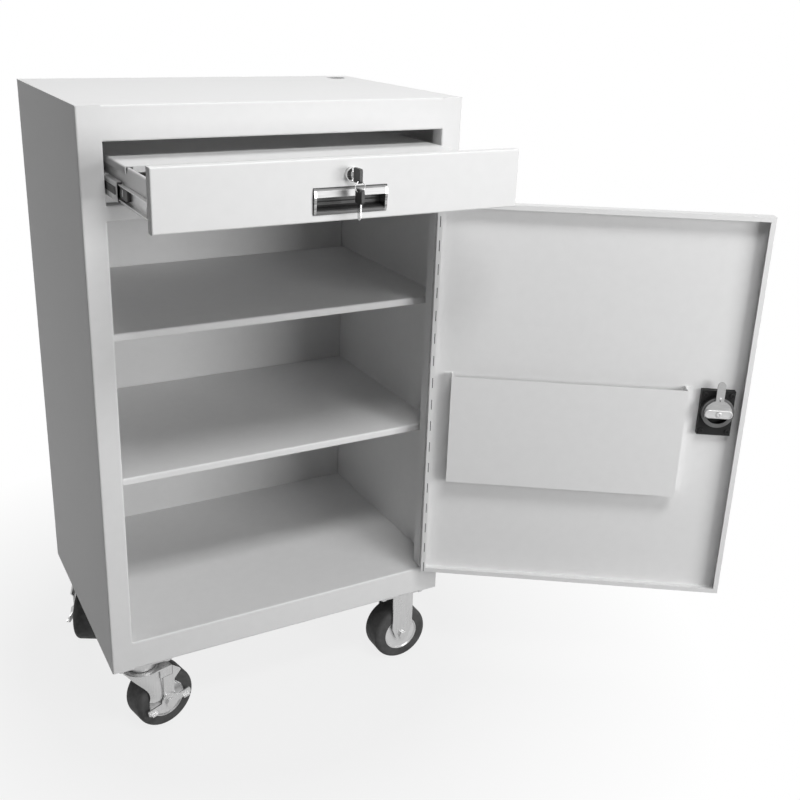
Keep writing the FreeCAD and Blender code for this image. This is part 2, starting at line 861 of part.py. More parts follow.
def door_panel():
    """Pan door with deep flanges, return lips and a window for the latch."""
    pan = Piece("door_panel", **door_place)
    pan.pad("XZ", 0, d.door_depth, rect(door_far, door_near, door_bottom, door_top))
    pan.fillet(d.bend_radius - d.sheet / 2, lambda edge: all(
        abs(vertex.Y) < 1e-3 for vertex in edge.Vertexes))
    for inset, start, length in ((d.sheet, d.sheet, d.door_depth - d.sheet * 2),
                                 (d.door_lip, d.door_depth - d.sheet, d.sheet)):
        pan.cut("XZ", start, length, rect(door_far + inset, door_near - inset, door_bottom + inset,
                                          door_top - inset))
    play = d.slide_play
    half = d.latch_width / 2 + play
    middle = -d.latch_reach
    pan.cut("XZ", 0, d.sheet, rect(middle - half, middle + half, d.latch_level - d.latch_low - play,
                                   d.latch_level + d.latch_high + play))


def document_pocket():
    """Open-topped sheet pocket on the inside of the door, with a flange at each side."""
    pocket = Piece("document_pocket", **door_place)
    near = -d.pocket_start
    far = near - d.pocket_width
    low = d.pocket_level
    high = low + d.pocket_height
    wall = d.slide_gauge
    pocket.pad("XZ", d.sheet, d.pocket_depth, rect(far, near, low, high))
    pocket.cut("XZ", d.sheet, d.pocket_depth - wall, rect(far + wall, near - wall, low + wall, high))
    for outer, inner in ((near + d.pocket_tab, near), (far, far - d.pocket_tab)):
        pocket.pad("XZ", d.sheet, wall, rect(inner, outer, low, high))


def hinge():
    """Piano hinge: two leaves with alternate knuckles on one pin."""
    length = door_top - door_bottom
    pairs = int(length.value // (2 * d.hinge_knuckle.value))
    pitch = d.hinge_knuckle * 2
    behind = d.hinge_barrel + d.hinge_notch
    for name, hand, place, first in (
            ("hinge_frame_leaf", 1, {"x": hinge_x, "y": front}, 0),
            ("hinge_door_leaf", -1, door_place, 1)):
        leaf = Piece(name, **place)
        skin = sorted((hand * (d.hinge_barrel - d.hinge_leaf), hand * d.hinge_barrel),
                      key=lambda size: size.value)
        leaf.pad("XY", door_bottom, length, rect(skin[0], skin[1], behind, d.hinge_leaf_depth))
        start = door_bottom + d.hinge_knuckle * first + d.hinge_knuckle_gap / 2
        knuckle = d.hinge_knuckle - d.hinge_knuckle_gap
        web = leaf.pad("XY", start, knuckle, rect(skin[0], skin[1], 0, behind))
        barrel = leaf.pad("XY", start, knuckle, circles=[(0, 0, d.hinge_barrel)])
        leaf.repeat_up([web, barrel], pairs, pitch)
        leaf.cut("XY", door_bottom, length, circles=[(0, 0, d.hinge_bore)])
    pin = Piece("hinge_pin", x=hinge_x, y=front)
    pin.pad("XY", door_bottom, d.hinge_knuckle * 2 * pairs, circles=[(0, 0, d.hinge_pin)])


def door_latch():
    """Quarter-turn latch: housing with a dish outside and a cam inside."""
    housing = Piece("latch_housing", **latch_place)
    half = d.latch_width / 2
    housing.pad("XZ", 0, d.latch_depth, rect(-half, half, -d.latch_low, d.latch_high))
    rim = rect(-half - d.latch_rim, half + d.latch_rim, -d.latch_low - d.latch_rim,
               d.latch_high + d.latch_rim)
    housing.pad("XZ", -d.cam_thickness, d.cam_thickness, rim)
    housing.round_corners("XZ", rim, d.latch_rim)
    housing.pad("XZ", d.latch_depth, d.ring_boss_height - d.latch_depth, circles=[(0, 0, d.ring_boss)])
    dish = rect(d.dish_wall - half, half - d.dish_wall, d.dish_wall - d.latch_low, d.latch_high - d.dish_wall)
    dish_depth = d.latch_depth - d.dish_floor + d.cam_thickness
    housing.cut("XZ", -d.cam_thickness, dish_depth, dish)
    housing.cut("XZ", d.latch_depth, d.ring_boss_height - d.latch_depth,
                circles=[(0, 0, d.ring_boss - d.dish_floor)])
    housing.cut("XZ", 0, d.latch_depth, circles=[(0, 0, d.spindle_radius + d.turning_fit)])

    dish_floor = d.latch_depth - d.dish_floor
    spindle = Piece("latch_spindle", **latch_place)
    grip_back = dish_floor - d.dish_floor / 2
    spindle.pad("XZ", grip_back, d.cam_level + d.cam_thickness - grip_back,
                circles=[(0, 0, d.spindle_radius)])

    grip = Piece("latch_grip", **latch_place)
    grip.pad("XZ", 0, grip_back, obround(d.bar_length - d.sheet * 2, d.bar_width))
    grip.fillet(d.sheet, lambda edge: all(abs(vertex.Y) < 1e-3 for vertex in edge.Vertexes))

    cam = Piece("latch_cam", **latch_place)
    tongue = d.cam_tongue / 2
    shoulder = Size((d.cam_radius.value ** 2 - tongue.value ** 2) ** 0.5,
                    f"sqrt({d.cam_radius.text}^2 - {tongue.text}^2)")
    neck = d.cam_reach - tongue
    flat = d.bar_width / 2
    side = Size((d.cam_radius.value ** 2 - flat.value ** 2) ** 0.5,
                f"sqrt({d.cam_radius.text}^2 - {flat.text}^2)")
    whole = Arc(0, 0, d.cam_radius, 1)
    cam.pad("XZ", d.cam_level, d.cam_thickness, [
        (-side, -flat),
        (side, -flat, whole),
        (tongue, shoulder),
        (tongue, neck, Arc(0, neck, tongue, 1)),
        (-tongue, neck),
        (-tongue, shoulder, whole),
    ])
    cam.cut("XZ", d.cam_level, d.cam_thickness, circles=[(0, 0, d.spindle_radius)])
    cam.cut("XZ", d.cam_level, d.cam_thickness, circles=[(0, d.cam_radius, d.cam_thickness / 2)])

    bar = Piece("latch_bar", **latch_place)
    bar_start = d.cam_level + d.cam_thickness
    bar.pad("XZ", bar_start, d.bar_thickness, obround(d.bar_length, d.bar_width))
    bar_end = bar_start + d.bar_thickness
    bar.fillet(d.sheet, lambda edge: all(abs(vertex.Y - bar_end.value) < 1e-3 for vertex in edge.Vertexes))
    bar.cut("XZ", bar_end - d.bar_recess, d.bar_recess,
            obround(d.bar_length - d.bar_rim * 2, d.bar_width - d.bar_rim * 2))


# Casters: each is drawn about its own upright axis, standing on the floor
front_caster = front + d.front_setback
rear_caster = back - d.rear_setback
leg_inner = d.leg_gap / 2
leg_outer = leg_inner + d.leg_thickness
plate_bottom = sill_bottom - d.plate_thickness


def wheel(name, place):
    """Pressed hub and its rubber tyre, turned about the axle."""
    half = d.wheel_width / 2
    shoulder = d.tyre_shoulder
    tyre = Piece(f"{name}_tyre", **place)
    tyre.lathe([
        (-half, d.hub_radius),
        (half, d.hub_radius),
        (half, d.wheel_radius - shoulder, Arc(half - shoulder, d.wheel_radius - shoulder, shoulder, 1)),
        (half - shoulder, d.wheel_radius),
        (shoulder - half, d.wheel_radius, Arc(shoulder - half, d.wheel_radius - shoulder, shoulder, 1)),
        (-half, d.wheel_radius - shoulder),
    ])
    hub = Piece(f"{name}_hub", **place)
    rim = half - d.sheet / 2
    web = half - d.sheet * 2
    boss = leg_inner - d.running_gap
    boss_radius = d.axle_radius * 2
    profile = [
        (-boss, d.axle_bore),
        (boss, d.axle_bore),
        (boss, boss_radius),
        (web, boss_radius + d.sheet),
        (web, d.hub_radius - d.sheet * 2),
        (rim, d.hub_radius - d.sheet),
        (rim, d.hub_radius),
    ]
    hub.lathe(profile + [(-y, radius) for y, radius in profile[:1:-1]])


def axle_bolt(bolt, outer, inner):
    """Bolt along Y from -outer to inner, with a hexagon at each end."""
    bolt.pad("XZ", -outer, outer + inner, circles=[(0, 0, d.axle_radius)])
    bolt.pad("XZ", -outer - d.axle_head, d.axle_head, hexagon(d.axle_hexagon))
    bolt.pad("XZ", inner, d.axle_head, hexagon(d.axle_hexagon))


def leg_outline(top_left, top_right, top_level, axle_x):
    """Fork leg that narrows from its top to a round end about the axle."""
    axle_z = d.wheel_radius
    return [
        (top_left, top_level),
        (axle_x - d.leg_end, axle_z, Arc(axle_x, axle_z, d.leg_end, 1)),
        (axle_x + d.leg_end, axle_z),
        (top_right, top_level),
    ]


def rigid_caster(name, y):
    """Fixed caster: fork with straight legs, and its wheel."""
    fork = Piece(f"rigid_fork_{name}", x=rigid_x, y=y)
    plate = rect(-d.plate_length / 2, d.plate_length / 2, -d.plate_depth / 2, d.plate_depth / 2)
    fork.pad("XY", plate_bottom, d.plate_thickness, plate)
    fork.round_corners("XY", plate, d.plate_corner)
    half = d.fork_leg_width / 2
    knee = d.wheel_radius + d.leg_end
    for start in (-leg_outer, leg_inner):
        fork.pad("XZ", start, d.leg_thickness, rect(-half, half, knee, plate_bottom + d.sheet))
        fork.pad("XZ", start, d.leg_thickness, leg_outline(-half, half, knee, 0))
    fork.pad("XY", plate_bottom - d.leg_thickness, d.leg_thickness, rect(-half, half, -leg_outer, leg_outer))
    fork.cut("XZ", -leg_outer, leg_outer * 2, circles=[(0, d.wheel_radius, d.axle_radius)])
    wheel(f"wheel_{name}_right", {"x": rigid_x, "y": y, "z": d.wheel_radius})


def rigid_axles():
    """The two axle bolts of the fixed casters."""
    bolts = Piece("rigid_axles", x=rigid_x, z=d.wheel_radius)
    for y in (front_caster, rear_caster):
        bolts.pad("XZ", y - leg_outer, leg_outer * 2, circles=[(0, 0, d.axle_radius)])
        for start in (y - leg_outer - d.axle_head, y + leg_outer):
            bolts.pad("XZ", start, d.axle_head, hexagon(d.axle_hexagon))


def swivel_plate(name, y):
    """Top plate of a swivel caster, with the cup of its ball race and the kingpin."""
    plate = Piece(f"swivel_plate_{name}", x=swivel_x, y=y)
    outline = rect(-d.plate_length / 2, d.plate_length / 2, -d.plate_depth / 2, d.plate_depth / 2)
    plate.pad("XY", plate_bottom, d.plate_thickness, outline)
    plate.round_corners("XY", outline, d.plate_corner)
    cup = d.yoke_top + d.running_gap
    plate.pad("XY", cup, plate_bottom - cup, circles=[(0, 0, d.race_radius)])
    plate.fillet(d.race_rounding, lambda edge: len(edge.Vertexes) == 1 and abs(
        edge.Vertexes[0].Z - cup.value) < 1e-3)
    plate.pad("XY", cup - d.kingpin_length, d.kingpin_length, circles=[(0, 0, d.axle_radius)])


def curved_strip(u, v, radius, start, end, hand):
    """Cross-section of pressed sheet that curves about a point from one bearing to another."""
    inner = radius - d.leg_thickness

    def reach(length, angle):
        return u + length * cosine(angle), hand * (v + length * sine(angle))

    return [
        (*reach(radius, start), Arc(u, hand * v, radius, hand)),
        reach(radius, end),
        (*reach(inner, end), Arc(u, hand * v, inner, -hand)),
        reach(inner, start),
    ]


def swivel_yoke(yoke):
    """Pressed yoke: a round crown whose skirt runs down each leg as a half-round rib."""
    crown = d.yoke_top - d.leg_thickness
    axle_x = d.swivel_trail
    side = leg_outer + d.leg_thickness
    zero = as_size(0)
    rib_start = 180 + d.rib_angle
    rib_end = 360 - d.rib_angle
    yoke.pad("XY", crown, d.leg_thickness, circles=[(0, 0, d.bell_radius)])
    yoke.pad("XY", crown, d.leg_thickness, rect(0, d.yoke_reach, -side, side))
    for hand, leg_start, wing_start in ((1, -leg_outer, -side), (-1, leg_inner, leg_outer)):
        yoke.pad("XZ", leg_start, d.leg_thickness,
                 leg_outline(d.yoke_leg_left, d.yoke_reach, d.yoke_top, axle_x))
        yoke.pad("XZ", wing_start, d.leg_thickness,
                 rect(d.wing_left, d.yoke_reach, d.yoke_top - d.wing_drop, d.yoke_top))
        yoke.loft([
            (d.yoke_top, curved_strip(zero, zero, d.bell_radius, d.bell_start, d.bell_end, hand)),
            (d.bell_waist, curved_strip(zero, zero, d.bell_radius, d.bell_waist_start, d.bell_end, hand)),
            (d.rib_knee, curved_strip(d.rib_knee_x, -d.rib_side, d.rib_radius, rib_start, rib_end, hand)),
            (d.rib_foot, curved_strip(d.rib_foot_x, -d.rib_side, d.rib_radius, rib_start, rib_end, hand)),
        ])
    yoke.cut("XY", d.yoke_top - d.groove_depth, d.groove_depth,
             circles=[(0, 0, d.groove_outer), (0, 0, d.groove_inner)])
    yoke.cut("XY", crown, d.leg_thickness, circles=[(0, 0, d.axle_bore)])
    yoke.cut("XZ", -leg_outer, leg_outer * 2, circles=[(axle_x, d.wheel_radius, d.axle_radius)])


def swivel_caster(name, y, turn):
    """Swivel caster: top plate with kingpin, pressed yoke, axle, wheel and side brake."""
    swivel_plate(name, y)
    swivel_yoke(Piece(f"swivel_yoke_{name}", x=swivel_x, y=y, yaw=turn))
    axle_place = {
        "x": swivel_x + d.swivel_trail * cosine(turn),
        "y": y + d.swivel_trail * sine(turn),
        "z": d.wheel_radius,
        "yaw": turn,
    }
    brake_plate = Piece(f"brake_plate_{name}", **axle_place)
    side_brake_plate(brake_plate, -leg_outer - d.brake_gauge)
    lever_start = -leg_outer - d.brake_gauge * 2 - d.running_gap
    lever = Piece(f"brake_lever_{name}", **axle_place)
    side_brake_lever(lever, lever_start)
    bolt = Piece(f"swivel_axle_{name}", **axle_place)
    axle_bolt(bolt, d.running_gap - lever_start, leg_outer)
    wheel(f"wheel_{name}_left", axle_place)


def side_brake_plate(plate, start):
    """Fixed strap of the side brake, hung on the axle, with a horn that leans out at its top."""
    half = d.strap_half
    tip = (d.horn_reach, d.horn_level)
    plate.pad("XZ", start, d.brake_gauge, [
        (-half, 0, Arc(0, 0, half, 1)),
        (half, 0),
        (d.strap_waist, d.strap_knee),
        tip,
        (d.horn_root, d.horn_top),
        (d.horn_root, d.strap_top),
        (-half, d.strap_top),
    ])
    plate.round_corners("XZ", [tip], d.brake_gauge)
    plate.cut("XZ", start, d.brake_gauge, circles=[(0, 0, d.axle_radius)])


def side_brake_lever(lever, start):
    """See-saw pedal of the side brake: a slanting bar across the axle with a tread at each end."""
    lean = cosine(d.lever_tilt)
    rise = sine(d.lever_tilt)

    def slanted(along, across):
        return along * lean - across * rise, along * rise + across * lean

    low = -d.lever_drop - d.lever_width / 2
    high = d.lever_width / 2 - d.lever_drop
    rounding = d.lever_width / 3
    ends = [slanted(-d.lever_reach, low), slanted(d.lever_reach, low), slanted(d.lever_reach, high),
            slanted(-d.lever_reach, high)]
    lever.pad("XZ", start, d.brake_gauge, ends)
    lever.round_corners("XZ", ends, rounding)
    lever.pad("XZ", start, d.brake_gauge, circles=[(0, 0, d.lever_eye)])
    lever.cut("XZ", start, d.brake_gauge, circles=[(0, 0, d.axle_bore)])
    for near in (rounding - d.lever_reach, d.lever_reach - rounding - d.lever_width):
        far = near + d.lever_width
        tread = [slanted(near, low), slanted(far, low), slanted(far, low + d.brake_gauge),
                 slanted(near, low + d.brake_gauge)]
        lever.pad("XZ", start - d.lever_tread, d.lever_tread + d.brake_gauge, tread)


strike_notch(side_panel("left", -1))
side_panel("right", 1)
top_panel()
back_panel()
bottom_panel()
divider_rail()
shelf("lower_shelf", d.lower_shelf_level)
shelf("upper_shelf", d.upper_shelf_level)
caster_channel("left", swivel_x)
caster_channel("right", rigid_x)
for hand_name, hand_sign in (("left", -1), ("right", 1)):
    slide_bracket(hand_name, hand_sign)
    slides(hand_name, hand_sign)
drawer_front()
drawer_tray()
drawer_lid()
drawer_pull()
drawer_lock()
spare_keys()
door_panel()
document_pocket()
hinge()
door_latch()
rigid_axles()
for end_name, end_y, end_turn in (("front", front_caster, d.front_swivel_turn),
                                  ("rear", rear_caster, d.rear_swivel_turn)):
    rigid_caster(end_name, end_y)
    swivel_caster(end_name, end_y, end_turn)

doc.recompute()
for item in doc.Objects:
    if "Invalid" in item.State or "Error" in item.State:
        raise RuntimeError(f"{item.Name} ({item.Label}) failed: {item.State}")
for body in bodies:
    if body.Shape.isNull() or not body.Shape.isValid():
        raise RuntimeError(f"{body.Label} has no valid shape")

os.makedirs("parts", exist_ok=True)
for body in bodies:
    body.Shape.exportStep(f"parts/{body.Label}.step")
print(f"{len(bodies)} pieces written")
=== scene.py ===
"""Looks of a mobile work cabinet: finishes for the CAD nodes, small fasteners and trim, light and camera.

Metres, in the row's frame: the floor is z = 0, the front faces -Y and +Z is up. Sizes named with _mm are
millimetres and are turned into metres where a surface is put in its place.
"""
import logging
import math
from dataclasses import dataclass
from enum import Enum
from typing import Iterable, Optional, Protocol, Sequence

import bmesh
import bpy
import numpy as np
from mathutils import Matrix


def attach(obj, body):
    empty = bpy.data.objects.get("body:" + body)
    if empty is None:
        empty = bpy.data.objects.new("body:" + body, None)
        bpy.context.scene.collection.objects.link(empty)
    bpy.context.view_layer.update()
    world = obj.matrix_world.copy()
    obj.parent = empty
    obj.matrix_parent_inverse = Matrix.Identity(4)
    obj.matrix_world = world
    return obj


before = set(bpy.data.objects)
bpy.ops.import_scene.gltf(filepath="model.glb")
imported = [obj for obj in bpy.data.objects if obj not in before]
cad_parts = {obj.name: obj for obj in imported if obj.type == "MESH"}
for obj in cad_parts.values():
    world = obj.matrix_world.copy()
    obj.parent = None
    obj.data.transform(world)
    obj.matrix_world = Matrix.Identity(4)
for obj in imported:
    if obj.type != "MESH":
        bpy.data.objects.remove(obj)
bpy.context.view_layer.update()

MM = 0.001
LOG = logging.getLogger("cabinet")


class Slot(Enum):
    """Material slots of the record."""

    PAINT = "powder_coat"
    ZINC = "zinc"
    CHROME = "chrome"
    PLASTIC = "black_plastic"
    TYRE = "tyre"


class Axis(Enum):
    """Axis of a turned or extruded surface."""

    X = "X"
    Y = "Y"
    Z = "Z"


@dataclass(frozen=True)
class Place:
    """Where a surface drawn in millimetres stands: an origin and a turn about the upright."""

    x: float = 0.0
    y: float = 0.0
    z: float = 0.0
    turn: float = 0.0

    def put(self, points: np.ndarray) -> np.ndarray:
        """Turn points about the upright, shift them and give them in metres.

        Args:
            points: Array of shape (..., 3) in millimetres.

        Returns:
            Array of the same shape in metres, in the row's frame.
        """
        angle = math.radians(self.turn)
        spin = np.array([[math.cos(angle), -math.sin(angle), 0.0],
                         [math.sin(angle), math.cos(angle), 0.0],
                         [0.0, 0.0, 1.0]])
        return (points @ spin.T + np.array([self.x, self.y, self.z])) * MM

    def beside(self, x: float, y: float, z: float) -> "Place":
        """Give a place that lies at a point of this one's own frame.

        Args:
            x: Distance along this place's own X, in millimetres.
            y: Distance along its own Y.
            z: Distance along its own Z.

        Returns:
            The new place, turned the same way.
        """
        there = self.put(np.array([x, y, z])) / MM
        return Place(float(there[0]), float(there[1]), float(there[2]), self.turn)


@dataclass(frozen=True)
class Surface:
    """A grid of points, its columns running round and closed, its rows running along."""

    points: np.ndarray
    capped: bool = False

    def faces(self, first: int) -> list[list[int]]:
        """Join neighbouring points of the grid into faces.

        Args:
            first: Number that the grid's first point has in the mesh.

        Returns:
            Quads between rows and, where the surface is capped, one face at each end.
        """
        rows, columns = self.points.shape[:2]
        numbers = first + np.arange(rows * columns).reshape(rows, columns)
        after = np.roll(numbers, -1, axis=1)
        quads = np.stack([numbers[:-1], after[:-1], after[1:], numbers[1:]], axis=-1).reshape(-1, 4)
        ends = [numbers[0, ::-1].tolist(), numbers[-1].tolist()] if self.capped else []
        return quads.tolist() + ends


def reorder(own: np.ndarray, axis: Axis) -> np.ndarray:
    """Bring coordinates (across, up, along) into x, y, z order, with along on the given axis."""
    across, up, along = own[..., 0], own[..., 1], own[..., 2]
    columns = {Axis.X: (along, across, up), Axis.Y: (up, along, across), Axis.Z: (across, up, along)}[axis]
    return np.stack(columns, axis=-1)


def turned(profile: np.ndarray, axis: Axis, segments: int) -> Surface:
    """Turn a profile about an axis.

    Each point keeps its height along the axis, and its radius times the cosine and sine of the column's
    angle gives the other two coordinates.

    Args:
        profile: Points (height along the axis, radius) in millimetres.
        axis: Axis to turn about.
        segments: Number of columns round the axis.

    Returns:
        The turned surface.
    """
    heights, radii = profile.T[:, :, None]
    angles = np.linspace(0.0, 2.0 * math.pi, segments, endpoint=False)[None, :]
    own = np.stack([radii * np.cos(angles), radii * np.sin(angles), heights + 0.0 * angles], axis=-1)
    return Surface(reorder(own, axis))


def extruded(loop: np.ndarray, start: float, end: float, axis: Axis, chamfer: float = 0.0) -> Surface:
    """Carry a closed loop straight along an axis, drawn in a little at both ends.

    Each row is the loop scaled about its middle by 1 - chamfer / reach at the two ends and by 1 between.

    Args:
        loop: Points (n, 2) in millimetres: (y, z) for the X axis, (z, x) for Y and (x, y) for Z.
        start: Level of the first end.
        end: Level of the other end.
        axis: Axis that the loop runs along.
        chamfer: Size of the bevel at both ends.

    Returns:
        The capped surface.
    """
    middle = (loop.max(axis=0) + loop.min(axis=0)) / 2.0
    reach = np.abs(loop - middle).max()
    step = math.copysign(chamfer, end - start)
    drawn_in = 1.0 - chamfer / reach
    levels = np.array([start, start + step, end - step, end] if chamfer else [start, end])
    shrink = np.array([drawn_in, 1.0, 1.0, drawn_in] if chamfer else [1.0, 1.0])
    flat = middle + (loop - middle)[None] * shrink[:, None, None]
    along = np.broadcast_to(levels[:, None, None], flat.shape[:2] + (1,))
    return Surface(reorder(np.concatenate([flat, along], axis=-1), axis), capped=True)


def framed(outer: np.ndarray, inner: np.ndarray, start: float, end: float, axis: Axis) -> Surface:
    """Lay a flat frame between two loops.

    Its rows are the outer and inner loop at one level, then the inner and outer loop at the other.

    Args:
        outer: Points (n, 2) of the outer loop, in the order that extruded takes.
        inner: As many points of the inner loop.
        start: Level of one face.
        end: Level of the other face.
        axis: Axis across the frame.

    Returns:
        The closed surface.
    """
    loops = np.stack([outer, inner, inner, outer, outer])
    levels = np.array([start, start, end, end, start])[:, None, None]
    along = np.broadcast_to(levels, loops.shape[:2] + (1,))
    return Surface(reorder(np.concatenate([loops, along], axis=-1), axis))


def rounded_loop(width: float, height: float, radius: float, steps: int = 6) -> np.ndarray:
    """Outline of a rectangle with round corners: four quarter circles about the corners' centres.

    Args:
        width: Whole size along the first coordinate.
        height: Whole size along the second coordinate.
        radius: Corner radius.
        steps: Points in each corner.

    Returns:
        Array (4 * steps, 2), running round once.
    """
    quarter = np.linspace(0.0, math.pi / 2.0, steps)
    angles = (np.arange(4)[:, None] * math.pi / 2.0 + quarter[None, :]).ravel()
    signs = np.repeat(np.array([[1, 1], [-1, 1], [-1, -1], [1, -1]]), steps, axis=0)
    centres = signs * (np.array([width, height]) / 2.0 - radius)
    return centres + radius * np.stack([np.cos(angles), np.sin(angles)], axis=-1)


def dome(radius: float, height: float, out: float, steps: int = 7) -> np.ndarray:
    """Profile of a domed head on its seat: a quarter of an ellipse, closed flat underneath.

    Args:
        radius: Radius of the head.
        height: Height of the head.
        out: Direction of the head along the axis, 1 or -1.
        steps: Points of the arch.

    Returns:
        Points (height, radius) from the seat's middle to the top.
    """
    angles = np.linspace(0.0, math.pi / 2.0, steps)
    arch = np.stack([out * height * np.sin(angles), radius * np.cos(angles)], axis=-1)
    return np.concatenate([[[0.0, 0.0]], arch])


def screw_head(radius: float, height: float, base: float) -> np.ndarray:
    """Profile of a low screw head: a bevelled disc with a round socket half its width in the middle.

    Args:
        radius: Radius of the head.
        height: Height of the head.
        base: Level of its seat.

    Returns:
        Points (height, radius) from the seat's middle to the socket's.
    """
    share = np.array([[0.0, 0.0], [0.0, 1.0], [0.7, 0.94], [1.0, 0.78], [1.0, 0.45], [0.3, 0.4], [0.3, 0.0]])
    return share * [height, radius] + [base, 0.0]


def bearing(azimuth: float, elevation: float) -> np.ndarray:
    """Unit vector from the cabinet towards a bearing.

    Args:
        azimuth: Angle from the cabinet's front towards its right, in degrees.
        elevation: Height above the horizontal, in degrees.

    Returns:
        The direction in the row's frame.
    """
    around, above = math.radians(azimuth), math.radians(elevation)
    level = math.cos(above)
    return np.array([math.sin(around) * level, -math.cos(around) * level, math.sin(above)])


def posed(right: np.ndarray, up: np.ndarray, back: np.ndarray, place: np.ndarray) -> list[list[float]]:
    """Matrix of a lamp or camera that looks along -back, in Blender's column order.

    Args:
        right: Unit vector of its own X.
        up: Unit vector of its own Y.
        back: Unit vector of its own Z.
        place: Where it stands, in metres.

    Returns:
        Four columns of four numbers.
    """
    matrix = np.eye(4)
    matrix[:3, 0], matrix[:3, 1], matrix[:3, 2], matrix[:3, 3] = right, up, back, place
    return matrix.T.tolist()


class NodeTree:
    """A node tree that nodes are added to and linked in."""

    def __init__(self, tree: bpy.types.NodeTree) -> None:
        """Take a tree and empty it."""
        self.tree = tree
        self.tree.nodes.clear()

    def set(self, target: bpy.types.NodeSocket, source: object) -> None:
        """Link an input to a socket, or set it to a plain value."""
        if isinstance(source, bpy.types.NodeSocket):
            self.tree.links.new(source, target)
        else:
            target.default_value = source

    def node(self, kind: str, **values: object) -> bpy.types.Node:
        """Add a node and set its inputs and properties.

        Args:
            kind: Blender's type name of the node.
            **values: Property names, or input names with underscores for blanks; sockets are linked.

        Returns:
            The new node.
        """
        made = self.tree.nodes.new(kind)
        for name, value in values.items():
            if hasattr(made, name):
                setattr(made, name, value)
            else:
                self.set(made.inputs[name.replace("_", " ")], value)
        return made

    def reckon(self, operation: str, first: object, second: object) -> bpy.types.NodeSocket:
        """Add a math node with two inputs and give its value."""
        made = self.node("ShaderNodeMath", operation=operation)
        self.set(made.inputs[0], first)
        self.set(made.inputs[1], second)
        return made.outputs["Value"]

    def spread(self, source: bpy.types.NodeSocket, low: float, high: float,
               span: tuple[float, float] = (0.3, 0.7)) -> bpy.types.NodeSocket:
        """Map a factor from a span, by default a noise's usual one, to a low and a high value."""
        made = self.node("ShaderNodeMapRange", Value=source, From_Min=span[0], From_Max=span[1],
                         To_Min=low, To_Max=high)
        return made.outputs["Result"]


class Graph(NodeTree):
    """Node graph of one material, ending in a Principled BSDF."""

    def __init__(self, name: str) -> None:
        """Make the material with its shader and its object coordinates."""
        self.material = bpy.data.materials.new(name)
        self.material.use_nodes = True
        super().__init__(self.material.node_tree)
        self.output = self.node("ShaderNodeOutputMaterial")
        self.shader = self.node("ShaderNodeBsdfPrincipled")
        self.set(self.output.inputs["Surface"], self.shader.outputs["BSDF"])
        self.place = self.node("ShaderNodeTexCoord").outputs["Object"]

    def stretch(self, scale: Sequence[float]) -> bpy.types.NodeSocket:
        """Give the object coordinates multiplied by a scale for each axis."""
        return self.node("ShaderNodeMapping", Vector=self.place, Scale=scale).outputs["Vector"]

    def noise(self, scale: float, detail: float = 2.0,
              where: Optional[bpy.types.NodeSocket] = None) -> bpy.types.NodeSocket:
        """Add a noise texture on object coordinates.

        Args:
            scale: Cells per metre.
            detail: Octaves.
            where: Coordinates to use in place of the plain object coordinates.

        Returns:
            The noise's factor, about 0.3 to 0.7.
        """
        source = self.place if where is None else where
        made = self.node("ShaderNodeTexNoise", Vector=source, Scale=scale, Detail=detail)
        return made.outputs["Fac"]

    def greys(self, factor: bpy.types.NodeSocket, low: float, high: float) -> bpy.types.NodeSocket:
        """Mix two greys by a factor."""
        made = self.node("ShaderNodeMix", data_type="RGBA", Factor=factor)
        colours = [socket for socket in made.inputs if socket.type == "RGBA"]
        for socket, grey in zip(colours, (low, high)):
            socket.default_value = (grey, grey, grey, 1.0)
        return next(socket for socket in made.outputs if socket.type == "RGBA")

    def bump(self, height: bpy.types.NodeSocket, strength: float, distance: float) -> None:
        """Raise the surface by a height, in metres at full strength."""
        made = self.node("ShaderNodeBump", Height=height, Strength=strength, Distance=distance)
        self.feed("Normal", made.outputs["Normal"])

    def feed(self, socket: str, source: object) -> None:
        """Link a socket of the shader, or set it to a plain value."""
        self.set(self.shader.inputs[socket], source)


class Finish(Protocol):
    """What every finish offers: its name, the slot it stands for and its material."""

    name: str
    slot: Slot

    def material(self) -> bpy.types.Material:
        """Build the material."""


@dataclass(frozen=True)
class PowderCoat:
    """Semi-gloss light grey powder coat with a fine orange-peel skin and faint handling marks."""

    name: str = "powder_coat"
    grey: float = 0.80
    drift: float = 0.008
    roughness: float = 0.38
    roughness_drift: float = 0.02
    gloss: float = 0.15
    metal: float = 0.0
    mottle_scale: float = 60.0
    peel_scale: float = 650.0
    peel_strength: float = 0.12
    peel_depth: float = 0.0002
    slot: Slot = Slot.PAINT

    def material(self) -> bpy.types.Material:
        """Build the coat's material."""
        graph = Graph(self.name)
        mottle = graph.noise(self.mottle_scale, 4.0)
        shade = graph.spread(mottle, 0.0, 1.0)
        graph.feed("Base Color", graph.greys(shade, self.grey - self.drift, self.grey + self.drift))
        smooth, rough = self.roughness - self.roughness_drift, self.roughness + self.roughness_drift
        graph.feed("Roughness", graph.spread(mottle, smooth, rough))
        graph.feed("Specular IOR Level", self.gloss)
        graph.feed("Metallic", self.metal)
        graph.bump(graph.noise(self.peel_scale), self.peel_strength, self.peel_depth)
        return graph.material


